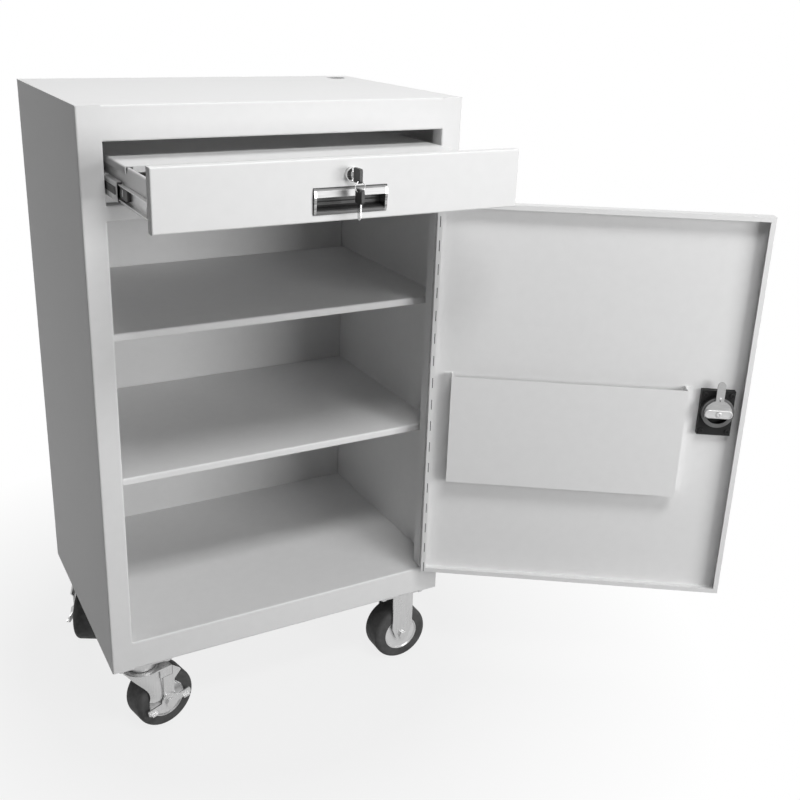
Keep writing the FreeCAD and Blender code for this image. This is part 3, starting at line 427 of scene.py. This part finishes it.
@dataclass(frozen=True)
class ZincPlate:
    """Bright zinc on stamped or rolled steel, with fine rolling lines."""

    name: str = "zinc"
    grey: float = 0.60
    roughness: float = 0.34
    metal: float = 0.75
    lines: tuple[float, float, float] = (60.0, 60.0, 900.0)
    drift: float = 0.03
    roughness_drift: float = 0.02
    cloud_scale: float = 40.0
    line_strength: float = 0.03
    line_depth: float = 0.00008
    slot: Slot = Slot.ZINC

    def material(self) -> bpy.types.Material:
        """Build the plating's material."""
        graph = Graph(self.name)
        rolling = graph.noise(1.0, 3.0, graph.stretch(self.lines))
        shade = graph.spread(rolling, 0.0, 1.0)
        graph.feed("Base Color", graph.greys(shade, self.grey - self.drift, self.grey + self.drift))
        graph.feed("Metallic", self.metal)
        smooth, rough = self.roughness - self.roughness_drift, self.roughness + self.roughness_drift
        graph.feed("Roughness", graph.spread(graph.noise(self.cloud_scale), smooth, rough))
        graph.bump(rolling, self.line_strength, self.line_depth)
        return graph.material


@dataclass(frozen=True)
class Chrome:
    """Polished chrome with streaks along the drawer's width: polishing lines in the roughness and the bump,
    and painted reflection streaks in the colour.
    """

    name: str = "chrome"
    grey: float = 0.66
    roughness: float = 0.16
    polish_and_reflection_streaks: tuple[float, float, float] = (14.0, 420.0, 420.0)
    # Shares of the grey at the streaks' dark and light ends: painted reflection streaks in the colour.
    shades: tuple[float, float] = (0.6, 1.2)
    roughness_span: tuple[float, float] = (-0.06, 0.08)
    streak_strength: float = 0.1
    streak_depth: float = 0.0001
    slot: Slot = Slot.CHROME

    def material(self) -> bpy.types.Material:
        """Build the chrome's material."""
        graph = Graph(self.name)
        polish_and_reflection_streak = graph.noise(1.0, 4.0, graph.stretch(self.polish_and_reflection_streaks))
        # The streaks shade the colour between the two shares of the grey as painted reflections, and vary
        # the roughness and the bump as polishing lines.
        shade = graph.spread(polish_and_reflection_streak, 0.0, 1.0)
        dark, light = self.shades
        graph.feed("Base Color", graph.greys(shade, self.grey * dark, self.grey * light))
        graph.feed("Metallic", 1.0)
        smoother, rougher = self.roughness_span
        graph.feed("Roughness", graph.spread(polish_and_reflection_streak, self.roughness + smoother, self.roughness + rougher))
        graph.bump(polish_and_reflection_streak, self.streak_strength, self.streak_depth)
        return graph.material


@dataclass(frozen=True)
class Grained:
    """Dark clouded material with a fine raised grain, the ground of the plastic and the rubber."""

    name: str
    grey: float
    roughness: float
    shades: tuple[float, float]
    cloud_scale: float
    cloud_detail: float
    wear_scale: float
    roughness_span: tuple[float, float]
    grain_scale: float
    grain_detail: float
    grain_strength: float
    grain_depth: float
    gloss: float
    slot: Slot

    def material(self) -> bpy.types.Material:
        """Build the material: clouds shade the colour, wear varies the roughness and a grain is raised."""
        graph = Graph(self.name)
        cloud = graph.spread(graph.noise(self.cloud_scale, self.cloud_detail), 0.0, 1.0)
        dark, light = self.shades
        graph.feed("Base Color", graph.greys(cloud, self.grey * dark, self.grey * light))
        smoother, rougher = self.roughness_span
        wear = graph.noise(self.wear_scale, 3.0)
        graph.feed("Roughness", graph.spread(wear, self.roughness + smoother, self.roughness + rougher))
        graph.feed("Specular IOR Level", self.gloss)
        graph.bump(graph.noise(self.grain_scale, self.grain_detail), self.grain_strength, self.grain_depth)
        return graph.material


@dataclass(frozen=True)
class MouldedPlastic(Grained):
    """Black moulded plastic with a fine spark-eroded grain."""

    name: str = "black_plastic"
    grey: float = 0.028
    roughness: float = 0.46
    shades: tuple[float, float] = (0.75, 1.3)
    cloud_scale: float = 60.0
    cloud_detail: float = 3.0
    wear_scale: float = 300.0
    roughness_span: tuple[float, float] = (-0.06, 0.08)
    grain_scale: float = 2600.0
    grain_detail: float = 1.0
    grain_strength: float = 0.25
    grain_depth: float = 0.00008
    gloss: float = 0.5
    slot: Slot = Slot.PLASTIC


@dataclass(frozen=True)
class TyreRubber(Grained):
    """Dark grey caster rubber, dull and slightly dusty."""

    name: str = "tyre_rubber"
    grey: float = 0.045
    roughness: float = 0.7
    shades: tuple[float, float] = (0.75, 1.45)
    cloud_scale: float = 45.0
    cloud_detail: float = 5.0
    wear_scale: float = 120.0
    roughness_span: tuple[float, float] = (-0.08, 0.12)
    grain_scale: float = 1100.0
    grain_detail: float = 3.0
    grain_strength: float = 0.22
    grain_depth: float = 0.00015
    gloss: float = 0.5
    slot: Slot = Slot.TYRE


@dataclass(frozen=True)
class KeyFinish:
    """A key with a black moulded head and a bright blade, told apart by a level along one axis."""

    name: str
    axis: Axis
    level: float
    side: str
    greys: tuple[float, float] = (0.03, 0.72)
    roughnesses: tuple[float, float] = (0.45, 0.2)
    scratch_scale: float = 1500.0
    scratch_strength: float = 0.1
    scratch_depth: float = 0.00006
    slot: Slot = Slot.PLASTIC

    def material(self) -> bpy.types.Material:
        """Build the key's material: a step at the level picks the blade's metal or the head's plastic."""
        graph = Graph(self.name)
        along = graph.node("ShaderNodeSeparateXYZ", Vector=graph.place).outputs[self.axis.value]
        blade = graph.reckon(self.side, along, self.level)
        graph.feed("Base Color", graph.greys(blade, *self.greys))
        graph.feed("Metallic", blade)
        graph.feed("Roughness", graph.spread(blade, *self.roughnesses, (0.0, 1.0)))
        graph.bump(graph.noise(self.scratch_scale), self.scratch_strength, self.scratch_depth)
        return graph.material


class Shop:
    """Makes materials once each and turns surfaces into pieces that ride on a body."""

    weld_m: float = 1e-7

    def __init__(self) -> None:
        """Start with no material made."""
        self.made: dict[str, bpy.types.Material] = {}

    def material(self, finish: Finish) -> bpy.types.Material:
        """Give the finish's material, built on its first use."""
        if finish.name not in self.made:
            self.made[finish.name] = finish.material()
        return self.made[finish.name]

    def dress(self, finish: Finish, *nodes: str) -> None:
        """Give CAD nodes a finish.

        Args:
            finish: The finish.
            *nodes: Names of CAD nodes.
        """
        for name in nodes:
            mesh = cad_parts[name].data
            mesh.materials.clear()
            mesh.materials.append(self.material(finish))
            LOG.info("dressed %s in %s", name, finish.name)

    def piece(self, name: str, surfaces: Iterable[tuple[Surface, Place]], finish: Finish, body: str,
              sharp: float = 35.0) -> bpy.types.Object:
        """Join surfaces into one piece, close its seams and let it ride on a body.

        Args:
            name: Name of the piece.
            surfaces: Surfaces in millimetres, each with its place.
            finish: The finish, whose material the piece takes.
            body: CAD body that the piece rides on.
            sharp: Angle in degrees past which an edge stays sharp.

        Returns:
            The new object.
        """
        points: list[np.ndarray] = []
        faces: list[list[int]] = []
        count = 0
        for surface, place in surfaces:
            faces += surface.faces(count)
            points.append(place.put(surface.points).reshape(-1, 3))
            count += len(points[-1])
        mesh = bpy.data.meshes.new(name)
        mesh.from_pydata(np.concatenate(points).tolist(), [], faces)
        work = bmesh.new()
        work.from_mesh(mesh)
        bmesh.ops.remove_doubles(work, verts=work.verts, dist=self.weld_m)
        bmesh.ops.dissolve_degenerate(work, edges=work.edges, dist=self.weld_m)
        bmesh.ops.recalc_face_normals(work, faces=work.faces)
        work.to_mesh(mesh)
        work.free()
        mesh.shade_smooth()
        mesh.set_sharp_from_angle(angle=math.radians(sharp))
        mesh.materials.append(self.material(finish))
        made = bpy.data.objects.new(name, mesh)
        bpy.context.scene.collection.objects.link(made)
        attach(made, body)
        LOG.info("made %s on %s", name, body)
        return made


@dataclass
class Shell:
    """The painted shell with its shelves, caster channels and slide brackets."""

    shop: Shop
    paint: PowderCoat = PowderCoat()
    nodes: tuple[str, ...] = (
        "left_side_panel", "right_side_panel", "top_panel", "back_panel", "bottom_panel", "divider_rail",
        "lower_shelf", "upper_shelf", "caster_channel_left", "caster_channel_right", "slide_bracket_left",
        "slide_bracket_right")
    opening_half_mm: float = 270.0
    front_mm: float = -212.5
    bend_mm: float = 3.0
    bend_points: int = 9
    seams_mm: tuple[tuple[float, float], ...] = ((991.0, 1038.5), (140.0, 190.0), (881.0, 903.0))

    def build(self) -> None:
        """Dress the shell and fill the seams where its rails meet the posts."""
        self.shop.dress(self.paint, *self.nodes)
        self.seams()

    def seams(self) -> None:
        """Fill the rounded groove beside each post, ground flush: a square corner less a quarter circle."""
        angles = np.linspace(1.5 * math.pi, 2.0 * math.pi, self.bend_points)
        arc = self.bend_mm * np.stack([np.cos(angles) - 1.0, np.sin(angles) + 1.0], axis=-1)
        loop = np.concatenate([[[0.0, 0.0]], arc[::-1]])
        spots = []
        for side in (-1.0, 1.0):
            place = Place(side * self.opening_half_mm, self.front_mm)
            mirrored = loop * [-side, 1.0]
            spots += [(extruded(mirrored, low, high, Axis.Z), place) for low, high in self.seams_mm]
        self.shop.piece("seam_welds", spots, self.paint, "cabinet")


@dataclass(frozen=True)
class Plate:
    """A small flat piece: its length along Y, height and thickness, its corners' radius and its bevel."""

    length: float
    height: float
    thickness: float
    corner: float
    bevel: float

    def surface(self, side: float) -> Surface:
        """Carry the rounded outline along X by the thickness, towards the given side."""
        outline = rounded_loop(self.length, self.height, self.corner)
        return extruded(outline, 0.0, side * self.thickness, Axis.X, self.bevel)


@dataclass
class SlideTrim:
    """Plastic parts, rivets and screws of one telescopic slide."""

    shop: Shop
    hand: str
    side: float
    zinc: ZincPlate
    plastic: MouldedPlastic
    level_mm: float = 931.0
    runner_web_mm: float = 258.5
    middle_web_mm: float = 267.6
    middle_front_mm: float = -262.3
    tray_wall_mm: float = 256.1
    lever: Plate = Plate(38.0, 15.0, 5.0, 3.0, 0.8)
    lever_ahead_mm: float = 20.0
    # Size, corners, faces and place of the thin dark sheet on the runner: painted shade inside the slot.
    slot_shadow_size_mm: tuple[float, float] = (2.6, 13.0)
    slot_shadow_corner_mm: float = 0.6
    slot_shadow_faces_mm: tuple[float, float] = (-0.1, 0.12)
    slot_y_mm: float = -375.0
    slot_drop_mm: float = 6.5
    tab: Plate = Plate(2.6, 9.0, 0.8, 0.8, 0.2)
    tab_ahead_mm: float = 17.0
    tab_lift_mm: float = 1.5
    cage: Plate = Plate(70.0, 11.0, 0.8, 2.0, 0.3)
    cage_behind_mm: float = 38.5
    cage_lift_mm: float = 1.0
    bumper: Plate = Plate(4.0, 2.5, 6.0, 0.8, 0.4)
    bumper_inner_mm: float = 260.2
    bumper_ahead_mm: float = 1.5
    bumper_reach_mm: float = 12.25
    rivet_mm: tuple[float, float] = (3.2, 0.9)
    rivets_behind_mm: tuple[float, float] = (22.7, 150.0)
    rivet_drop_mm: float = 7.5
    screw_mm: tuple[float, float] = (3.6, 1.8)
    screws_y_mm: tuple[float, float, float] = (-392.0, -310.0, -120.0)

    def build(self) -> None:
        """Add the slide's trim, from the lever at its front to the screws in the tray's wall."""
        self.release_lever()
        self.ball_cage()
        self.fasteners()

    def at(self, x: float, y: float, lift: float = 0.0) -> Place:
        """Give a place at a distance from the middle, mirrored to this side, and a lift over the slide."""
        return Place(self.side * x, y, self.level_mm + lift)

    def release_lever(self) -> None:
        """Add the lever with its bright tab, and a thin dark sheet on the runner that paints the shade
        inside its slot.
        """
        faces = [self.side * face for face in self.slot_shadow_faces_mm]
        # The slot is a thin dark sheet lying at the runner's face: painted shade where the slot is open.
        slot = extruded(rounded_loop(*self.slot_shadow_size_mm, self.slot_shadow_corner_mm), *faces, Axis.X)
        lever_place = self.at(self.runner_web_mm, self.middle_front_mm - self.lever_ahead_mm)
        slot_shadow_place = self.at(self.runner_web_mm, self.slot_y_mm, -self.slot_drop_mm)
        dark = [(self.lever.surface(self.side), lever_place), (slot, slot_shadow_place)]
        self.shop.piece(f"release_lever_{self.hand}", dark, self.plastic, "drawer")
        tab_x = self.runner_web_mm + self.lever.thickness
        tab_place = self.at(tab_x, self.middle_front_mm - self.tab_ahead_mm, self.tab_lift_mm)
        tabs = [(self.tab.surface(self.side), tab_place)]
        self.shop.piece(f"lever_tab_{self.hand}", tabs, self.zinc, "drawer")

    def ball_cage(self) -> None:
        """Add the cage on the middle rail and a bumper at the front of each of its races."""
        bumper = self.bumper.surface(self.side)
        bumper_y = self.middle_front_mm - self.bumper_ahead_mm
        pads = [(bumper, self.at(self.bumper_inner_mm, bumper_y, lift))
                for lift in (self.bumper_reach_mm, -self.bumper_reach_mm)]
        cage_y = self.middle_front_mm + self.cage_behind_mm
        cage_place = self.at(self.middle_web_mm, cage_y, self.cage_lift_mm)
        pads.append((self.cage.surface(self.side), cage_place))
        self.shop.piece(f"ball_cage_{self.hand}", pads, self.plastic, f"slide_{self.hand}")

    def fasteners(self) -> None:
        """Rivet the cage to the middle rail and screw the runner to the tray's wall."""
        rivet = turned(dome(*self.rivet_mm, self.side), Axis.X, segments=24)
        rivets = [(rivet, self.at(self.middle_web_mm, self.middle_front_mm + behind, -self.rivet_drop_mm))
                  for behind in self.rivets_behind_mm]
        self.shop.piece(f"slide_rivets_{self.hand}", rivets, self.zinc, f"slide_{self.hand}")
        screw = turned(dome(*self.screw_mm, -self.side), Axis.X, segments=24)
        screws = [(screw, self.at(self.tray_wall_mm, y)) for y in self.screws_y_mm]
        self.shop.piece(f"runner_screws_{self.hand}", screws, self.zinc, "drawer")


@dataclass
class Drawer:
    """The drawer with its slides, sliding lid, recessed pull, lock and keys."""

    shop: Shop
    paint: PowderCoat = PowderCoat()
    silver: PowderCoat = PowderCoat("tray_coat", 0.62, roughness=0.5, metal=0.45)
    slide_zinc: ZincPlate = ZincPlate("slide_zinc", lines=(60.0, 900.0, 60.0))
    cam_zinc: ZincPlate = ZincPlate("cam_zinc")
    chrome: Chrome = Chrome()
    # A darker copy of the chrome for the pull's channel, dimming what it reflects: painted shade.
    shaded_pull_chrome: Chrome = Chrome("shaded_pull_chrome", grey=0.22, roughness=0.4)
    # A darker copy of the chrome for the pull's caps: painted shade of their shaded sides.
    shaded_cap_chrome: Chrome = Chrome("shaded_cap_chrome", grey=0.4)
    plastic: MouldedPlastic = MouldedPlastic()
    key_in_lock: KeyFinish = KeyFinish("key_in_lock", Axis.Y, -0.4383, "GREATER_THAN")
    key_on_ring: KeyFinish = KeyFinish("key_on_ring", Axis.Z, 0.93335, "LESS_THAN")
    face_y_mm: float = -426.5
    recess_half_mm: float = 50.3
    recess_levels_mm: tuple[float, float] = (921.2, 946.8)
    recess_depth_mm: tuple[float, float] = (-0.8, 14.6)
    liner_wall_mm: float = 0.8
    rib_margin_mm: float = 3.0
    rib_points: int = 25
    rib_height_mm: float = 0.35
    rib_turn_per_mm: float = 1.1
    pull_size_mm: tuple[float, float] = (34.5, 108.0)
    pull_z_mm: float = 934.0
    # Sizes of the thin dark frame round the pull, a painted shadow line along the gap.
    shadow_line_growth_mm: tuple[float, float] = (0.1, 1.6)
    shadow_line_corners_mm: tuple[float, float] = (0.4, 1.2)
    shadow_line_thickness_mm: float = 0.5

    def build(self) -> None:
        """Dress the drawer's nodes and add its trim."""
        self.shop.dress(self.paint, "drawer_front", "drawer_lid")
        self.shop.dress(self.silver, "drawer_tray")
        for hand in ("left", "right"):
            rails = [f"slide_{part}_{hand}" for part in ("rail", "middle", "runner")]
            self.shop.dress(self.slide_zinc, *rails)
        self.shop.dress(self.chrome, "lock_body", "lock_plug", "key_ring")
        self.shop.dress(self.shaded_pull_chrome, "pull_channel")
        self.shop.dress(self.shaded_cap_chrome, "pull_caps")
        self.shop.dress(self.cam_zinc, "lock_cam")
        self.shop.dress(self.key_in_lock, "lock_key")
        self.shop.dress(self.key_on_ring, "spare_key")
        self.pull_liner()
        self.pull_shadow_line()
        for hand, side in (("left", -1.0), ("right", 1.0)):
            SlideTrim(self.shop, hand, side, self.slide_zinc, self.plastic).build()

    def pull_liner(self) -> None:
        """Line the pull's recess: a dark channel whose back wall is ribbed by a cosine of the height."""
        low, high = self.recess_levels_mm
        mouth, floor = self.recess_depth_mm
        wall = self.liner_wall_mm
        ribs = np.linspace(low + self.rib_margin_mm, high - self.rib_margin_mm, self.rib_points)
        waves = floor - wall - self.rib_height_mm * (1.0 + np.cos((ribs - low) * self.rib_turn_per_mm))
        outside = [(mouth, low), (floor, low), (floor, high), (mouth, high)]
        inside = [(mouth, low + wall)] + list(zip(waves, ribs)) + [(mouth, high - wall)]
        loop = np.array(outside + inside[::-1])
        liner = extruded(loop, -self.recess_half_mm, self.recess_half_mm, Axis.X)
        self.shop.piece("pull_liner", [(liner, Place(y=self.face_y_mm))], self.plastic, "drawer")

    def pull_shadow_line(self) -> None:
        """Lay a thin dark frame round the pull: a painted shadow of the gap between the pull and the drawer
        front, showing as a line round it.
        """
        height, width = self.pull_size_mm
        inner, outer = [rounded_loop(height + growth, width + growth, corner)
                        for growth, corner in zip(self.shadow_line_growth_mm, self.shadow_line_corners_mm)]
        shadow_line = framed(outer, inner, -self.shadow_line_thickness_mm, 0.0, Axis.Y)
        place = Place(0.0, self.face_y_mm, self.pull_z_mm)
        self.shop.piece("pull_shadow_line", [(shadow_line, place)], self.plastic, "drawer")


@dataclass
class Door:
    """The pan door with its pocket, piano hinge and quarter-turn latch."""

    shop: Shop
    paint: PowderCoat = PowderCoat()
    plastic: MouldedPlastic = MouldedPlastic("latch_plastic", 0.014, gloss=0.2)
    ring: MouldedPlastic = MouldedPlastic("ring_plastic", grey=0.11)
    zinc: ZincPlate = ZincPlate("latch_zinc", grey=0.4, roughness=0.45, metal=0.5)
    bright: ZincPlate = ZincPlate("bar_zinc", grey=0.6, roughness=0.4, metal=0.5)
    hinge: Place = Place(266.75, -212.5, 0.0, 146.5)
    leaf_mm: float = 2.05
    rivet_mm: tuple[float, float] = (3.0, 1.1)
    rivet_depth_mm: float = 9.0
    rivet_levels_mm: tuple[float, ...] = (219.0, 345.5, 472.0, 598.5, 725.0, 851.5)
    knuckle_mm: float = 20.0
    knuckle_pairs: int = 17
    bottom_mm: float = 196.5
    lip_face_mm: float = 22.0
    # Thin dark bars on the door's lip beside the frame's knuckles: painted shadow in the hinge's slits.
    slit_shadow_reach_mm: float = 7.9
    slit_shadow_size_mm: tuple[float, float] = (1.1, 0.2)
    slit_shadow_corner_mm: float = 0.05
    slit_shadow_margin_mm: float = 1.0
    latch_reach_mm: float = 489.7
    latch_level_mm: float = 543.5
    latch_face_mm: float = 12.0
    corner_screw_mm: tuple[float, float] = (4.6, 2.0)
    corner_columns_mm: tuple[float, float] = (-22.0, 22.0)
    corner_rows_mm: tuple[float, float] = (-37.0, 28.0)
    bar_face_mm: float = 29.3
    bar_screw_mm: tuple[float, float] = (4.8, 1.6)
    cam_face_mm: float = 25.5
    tongue_rivet_mm: tuple[float, float] = (2.4, 0.8)
    tongue_rivet_lift_mm: float = 27.0
    ring_face_mm: float = 22.0
    ring_radii_mm: tuple[float, float] = (20.0, 27.0)
    ring_heights_mm: tuple[float, float] = (0.5, 0.6)
    ring_bevels_mm: tuple[float, float] = (0.4, 0.8)

    def build(self) -> None:
        """Dress the door's nodes and add the hinge's and the latch's trim."""
        self.shop.dress(self.paint, "door_panel", "document_pocket", "hinge_frame_leaf", "hinge_door_leaf")
        self.shop.dress(self.zinc, "hinge_pin", "latch_spindle", "latch_cam")
        self.shop.dress(self.bright, "latch_bar")
        self.shop.dress(self.plastic, "latch_housing", "latch_grip")
        self.hinge_rivets()
        self.hinge_slit_shadows()
        self.latch_trim()

    def hinge_rivets(self) -> None:
        """Rivet both hinge leaves at even steps."""
        frame_side = Place(self.hinge.x, self.hinge.y)
        for name, place, side, body in (("hinge_rivets_frame", frame_side, 1.0, "cabinet"),
                                        ("hinge_rivets_door", self.hinge, -1.0, "door")):
            head = turned(dome(*self.rivet_mm, -side), Axis.X, segments=24)
            spots = [(head, place.beside(side * self.leaf_mm, self.rivet_depth_mm, level))
                     for level in self.rivet_levels_mm]
            self.shop.piece(name, spots, self.paint, body)

    def hinge_slit_shadows(self) -> None:
        """Paint the shadow in the slit beside each of the frame's knuckles: a thin dark bar, repeated up the
        lip.
        """
        outline = rounded_loop(*self.slit_shadow_size_mm, self.slit_shadow_corner_mm)
        slit_shadow = extruded(outline, self.slit_shadow_margin_mm, self.knuckle_mm - self.slit_shadow_margin_mm, Axis.Z)
        levels = self.bottom_mm + 2.0 * self.knuckle_mm * np.arange(self.knuckle_pairs)
        spots = [(slit_shadow, self.hinge.beside(-self.slit_shadow_reach_mm, self.lip_face_mm, level))
                 for level in levels.tolist()]
        self.shop.piece("hinge_slit_shadows", spots, self.plastic, "door")

    def latch_trim(self) -> None:
        """Add the screws of the housing, the bar and the tongue, and the ring under the cam."""
        middle = self.hinge.beside(-self.latch_reach_mm, 0.0, self.latch_level_mm)
        corner = turned(screw_head(*self.corner_screw_mm, self.latch_face_mm), Axis.Y, segments=28)
        corners = [(corner, middle.beside(x, 0.0, z))
                   for x in self.corner_columns_mm for z in self.corner_rows_mm]
        self.shop.piece("latch_screws", corners, self.plastic, "door")
        screw = turned(screw_head(*self.bar_screw_mm, self.bar_face_mm), Axis.Y, segments=28)
        rivet = turned(screw_head(*self.tongue_rivet_mm, self.cam_face_mm), Axis.Y, segments=20)
        held = [(screw, middle), (rivet, middle.beside(0.0, 0.0, self.tongue_rivet_lift_mm))]
        self.shop.piece("latch_bar_screw", held, self.bright, "latch")
        inner, outer = self.ring_radii_mm
        rise, crown = self.ring_heights_mm
        inner_bevel, outer_bevel = self.ring_bevels_mm
        lip = np.array([(0.0, inner), (rise, inner + inner_bevel), (crown, outer - outer_bevel),
                        (0.0, outer), (0.0, inner)])
        washer = turned(lip + [self.ring_face_mm, 0.0], Axis.Y, segments=56)
        self.shop.piece("latch_ring", [(washer, middle)], self.ring, "door")


@dataclass
class Casters:
    """Two swivel casters with side brakes on the left and two fixed ones on the right."""

    shop: Shop
    zinc: ZincPlate = ZincPlate("caster_zinc", 0.58, 0.28, lines=(500.0, 500.0, 25.0))
    hub: ZincPlate = ZincPlate("hub_zinc", grey=0.62, roughness=0.36)
    rubber: TyreRubber = TyreRubber()
    columns_mm: tuple[float, float] = (-250.5, 237.0)
    ends_mm: tuple[float, float] = (-180.5, 146.5)
    plate_bottom_mm: float = 137.0
    bolt_offset_mm: tuple[float, float] = (38.0, 20.0)
    bolt_radius_mm: float = 6.4
    bolt_height_mm: float = 4.6
    bolt_bevel_mm: float = 0.7
    bolt_sharp: float = 20.0
    plated: tuple[str, ...] = ("rigid_fork", "swivel_plate", "swivel_yoke", "swivel_axle", "brake_plate",
                               "brake_lever")

    def build(self) -> None:
        """Dress the casters and bolt them to their channels."""
        for end in ("front", "rear"):
            self.shop.dress(self.zinc, *[f"{part}_{end}" for part in self.plated])
            for hand in ("left", "right"):
                self.shop.dress(self.hub, f"wheel_{end}_{hand}_hub")
                self.shop.dress(self.rubber, f"wheel_{end}_{hand}_tyre")
        self.shop.dress(self.zinc, "rigid_axles")
        self.plate_bolts()

    def plate_bolts(self) -> None:
        """Add the four bolts of each caster plate: a hexagon carried down by the head's height."""
        angles = np.arange(6) * math.pi / 3.0
        hexagon = self.bolt_radius_mm * np.stack([np.cos(angles), np.sin(angles)], axis=-1)
        top = self.plate_bottom_mm
        head = extruded(hexagon, top, top - self.bolt_height_mm, Axis.Z, self.bolt_bevel_mm)
        across, along = self.bolt_offset_mm
        spots = [(head, Place(x + dx, y + dy)) for x in self.columns_mm for y in self.ends_mm
                 for dx in (-across, across) for dy in (-along, along)]
        self.shop.piece("caster_bolts", spots, self.zinc, "cabinet", self.bolt_sharp)


@dataclass(frozen=True)
class Softbox:
    """A rectangular lamp: its bearing in degrees, its size in metres and its power in watts."""

    name: str
    azimuth: float
    elevation: float
    size: tuple[float, float]
    power: float

    def hang(self, target: np.ndarray, distance: float) -> None:
        """Hang the lamp on its bearing, facing the target.

        Args:
            target: Point that it faces, in metres.
            distance: Distance from that point.
        """
        light = bpy.data.lights.new(self.name, "AREA")
        light.shape = "RECTANGLE"
        light.size, light.size_y = self.size
        light.energy = self.power
        away = bearing(self.azimuth, self.elevation)
        steep = abs(away[2]) > 0.9
        side = np.cross([0.0, 1.0, 0.0] if steep else [0.0, 0.0, 1.0], away)
        side /= np.linalg.norm(side)
        lamp = bpy.data.objects.new(self.name, light)
        lamp.matrix_world = posed(side, np.cross(away, side), away, target + distance * away)
        bpy.context.scene.collection.objects.link(lamp)


@dataclass
class Studio:
    """Pale floor, soft lamps and the camera at the photograph's angle."""

    lamps: tuple[Softbox, ...] = (
        Softbox("low_softbox", 24.0, 10.0, (1.5, 0.8), 36.5),
        Softbox("high_softbox", 4.0, 53.0, (1.4, 0.5), 36.0),
        Softbox("overhead", 150.0, 80.0, (0.8, 0.8), 28.0),
        Softbox("back_fill", 160.0, 2.0, (1.4, 0.5), 18.0))
    lit_point: tuple[float, float, float] = (0.0, -0.1, 0.6)
    lamp_distance: float = 2.8
    world_light: float = 0.015
    floor_half: float = 12.0
    floor_greys: tuple[float, float] = (0.36, 0.40)
    floor_mottle: float = 30.0
    floor_roughness: float = 0.9
    white_share: tuple[float, float] = (0.82, 1.0)
    white_radii: tuple[float, float] = (0.4, 0.9)
    azimuth: float = -28.832
    elevation: float = 19.57
    roll: float = -1.812
    camera_mm: tuple[float, float, float] = (-608.094, -1630.403, 1191.371)
    focal_px: float = 1025.219
    centre_px: tuple[float, float] = (381.518, 358.59)
    image_px: float = 800.0
    sensor_mm: float = 36.0

    def build(self) -> None:
        """Set up floor, world, lamps and camera."""
        self.floor()
        self.world()
        for lamp in self.lamps:
            lamp.hang(np.array(self.lit_point), self.lamp_distance)
        self.camera()
        bpy.context.scene.view_settings.view_transform = "Standard"

    def floor(self) -> None:
        """Lay a pale floor that keeps a soft shadow near the object and is white further out."""
        corners = np.array([[-1.0, -1.0, 0.0], [1.0, -1.0, 0.0], [1.0, 1.0, 0.0], [-1.0, 1.0, 0.0]])
        mesh = bpy.data.meshes.new("floor")
        mesh.from_pydata((corners * self.floor_half).tolist(), [], [[0, 1, 2, 3]])
        floor = bpy.data.objects.new("floor", mesh)
        bpy.context.scene.collection.objects.link(floor)
        graph = Graph("floor_paper")
        graph.feed("Base Color", graph.greys(graph.noise(self.floor_mottle, 3.0), *self.floor_greys))
        graph.feed("Roughness", self.floor_roughness)
        light = graph.node("ShaderNodeLightPath").outputs
        seen = graph.reckon("MAXIMUM", light["Is Camera Ray"], light["Is Glossy Ray"])
        far = graph.node("ShaderNodeVectorMath", operation="LENGTH")
        graph.set(far.inputs[0], graph.place)
        share = graph.spread(far.outputs["Value"], *self.white_share, self.white_radii)
        blend = graph.node("ShaderNodeMixShader", Fac=graph.reckon("MULTIPLY", seen, share))
        graph.set(blend.inputs[1], graph.shader.outputs["BSDF"])
        graph.set(blend.inputs[2], graph.node("ShaderNodeEmission").outputs["Emission"])
        graph.set(graph.output.inputs["Surface"], blend.outputs["Shader"])
        mesh.materials.append(graph.material)

    def world(self) -> None:
        """Show white to the camera, to gloss and through clear pieces, and give a low even light."""
        world = bpy.data.worlds.new("studio")
        bpy.context.scene.world = world
        world.use_nodes = True
        sky = NodeTree(world.node_tree)
        light = sky.node("ShaderNodeLightPath").outputs
        direct = sky.reckon("MAXIMUM", light["Is Camera Ray"], light["Is Glossy Ray"])
        seen = sky.reckon("MAXIMUM", direct, light["Is Transmission Ray"])
        strength = sky.spread(seen, self.world_light, 1.0, (0.0, 1.0))
        back = sky.node("ShaderNodeBackground", Color=(1.0, 1.0, 1.0, 1.0), Strength=strength)
        sky.node("ShaderNodeOutputWorld", Surface=back.outputs["Background"])

    def camera(self) -> None:
        """Place the camera by the angles, distance and image centre fitted to the photograph."""
        data = bpy.data.cameras.new("camera")
        data.sensor_width = self.sensor_mm
        data.lens = self.focal_px / self.image_px * self.sensor_mm
        data.shift_x = (self.image_px / 2.0 - self.centre_px[0]) / self.image_px
        data.shift_y = (self.centre_px[1] - self.image_px / 2.0) / self.image_px
        away = bearing(self.azimuth, self.elevation)
        right = np.cross(-away, [0.0, 0.0, 1.0])
        right /= np.linalg.norm(right)
        down = np.cross(-away, right)
        tilt = math.radians(self.roll)
        tilted_right = math.cos(tilt) * right + math.sin(tilt) * down
        tilted_down = math.cos(tilt) * down - math.sin(tilt) * right
        camera = bpy.data.objects.new("camera", data)
        camera.matrix_world = posed(tilted_right, -tilted_down, away, np.array(self.camera_mm) * MM)
        bpy.context.scene.collection.objects.link(camera)
        bpy.context.scene.camera = camera


def main() -> None:
    """Build the sub-assemblies in order, then the studio."""
    logging.basicConfig(level=logging.INFO, format="%(name)s: %(message)s")
    shop = Shop()
    for assembly in (Shell(shop), Drawer(shop), Door(shop), Casters(shop), Studio()):
        assembly.build()
        LOG.info("finished %s", type(assembly).__name__)


if __name__ == "__main__":
    main()
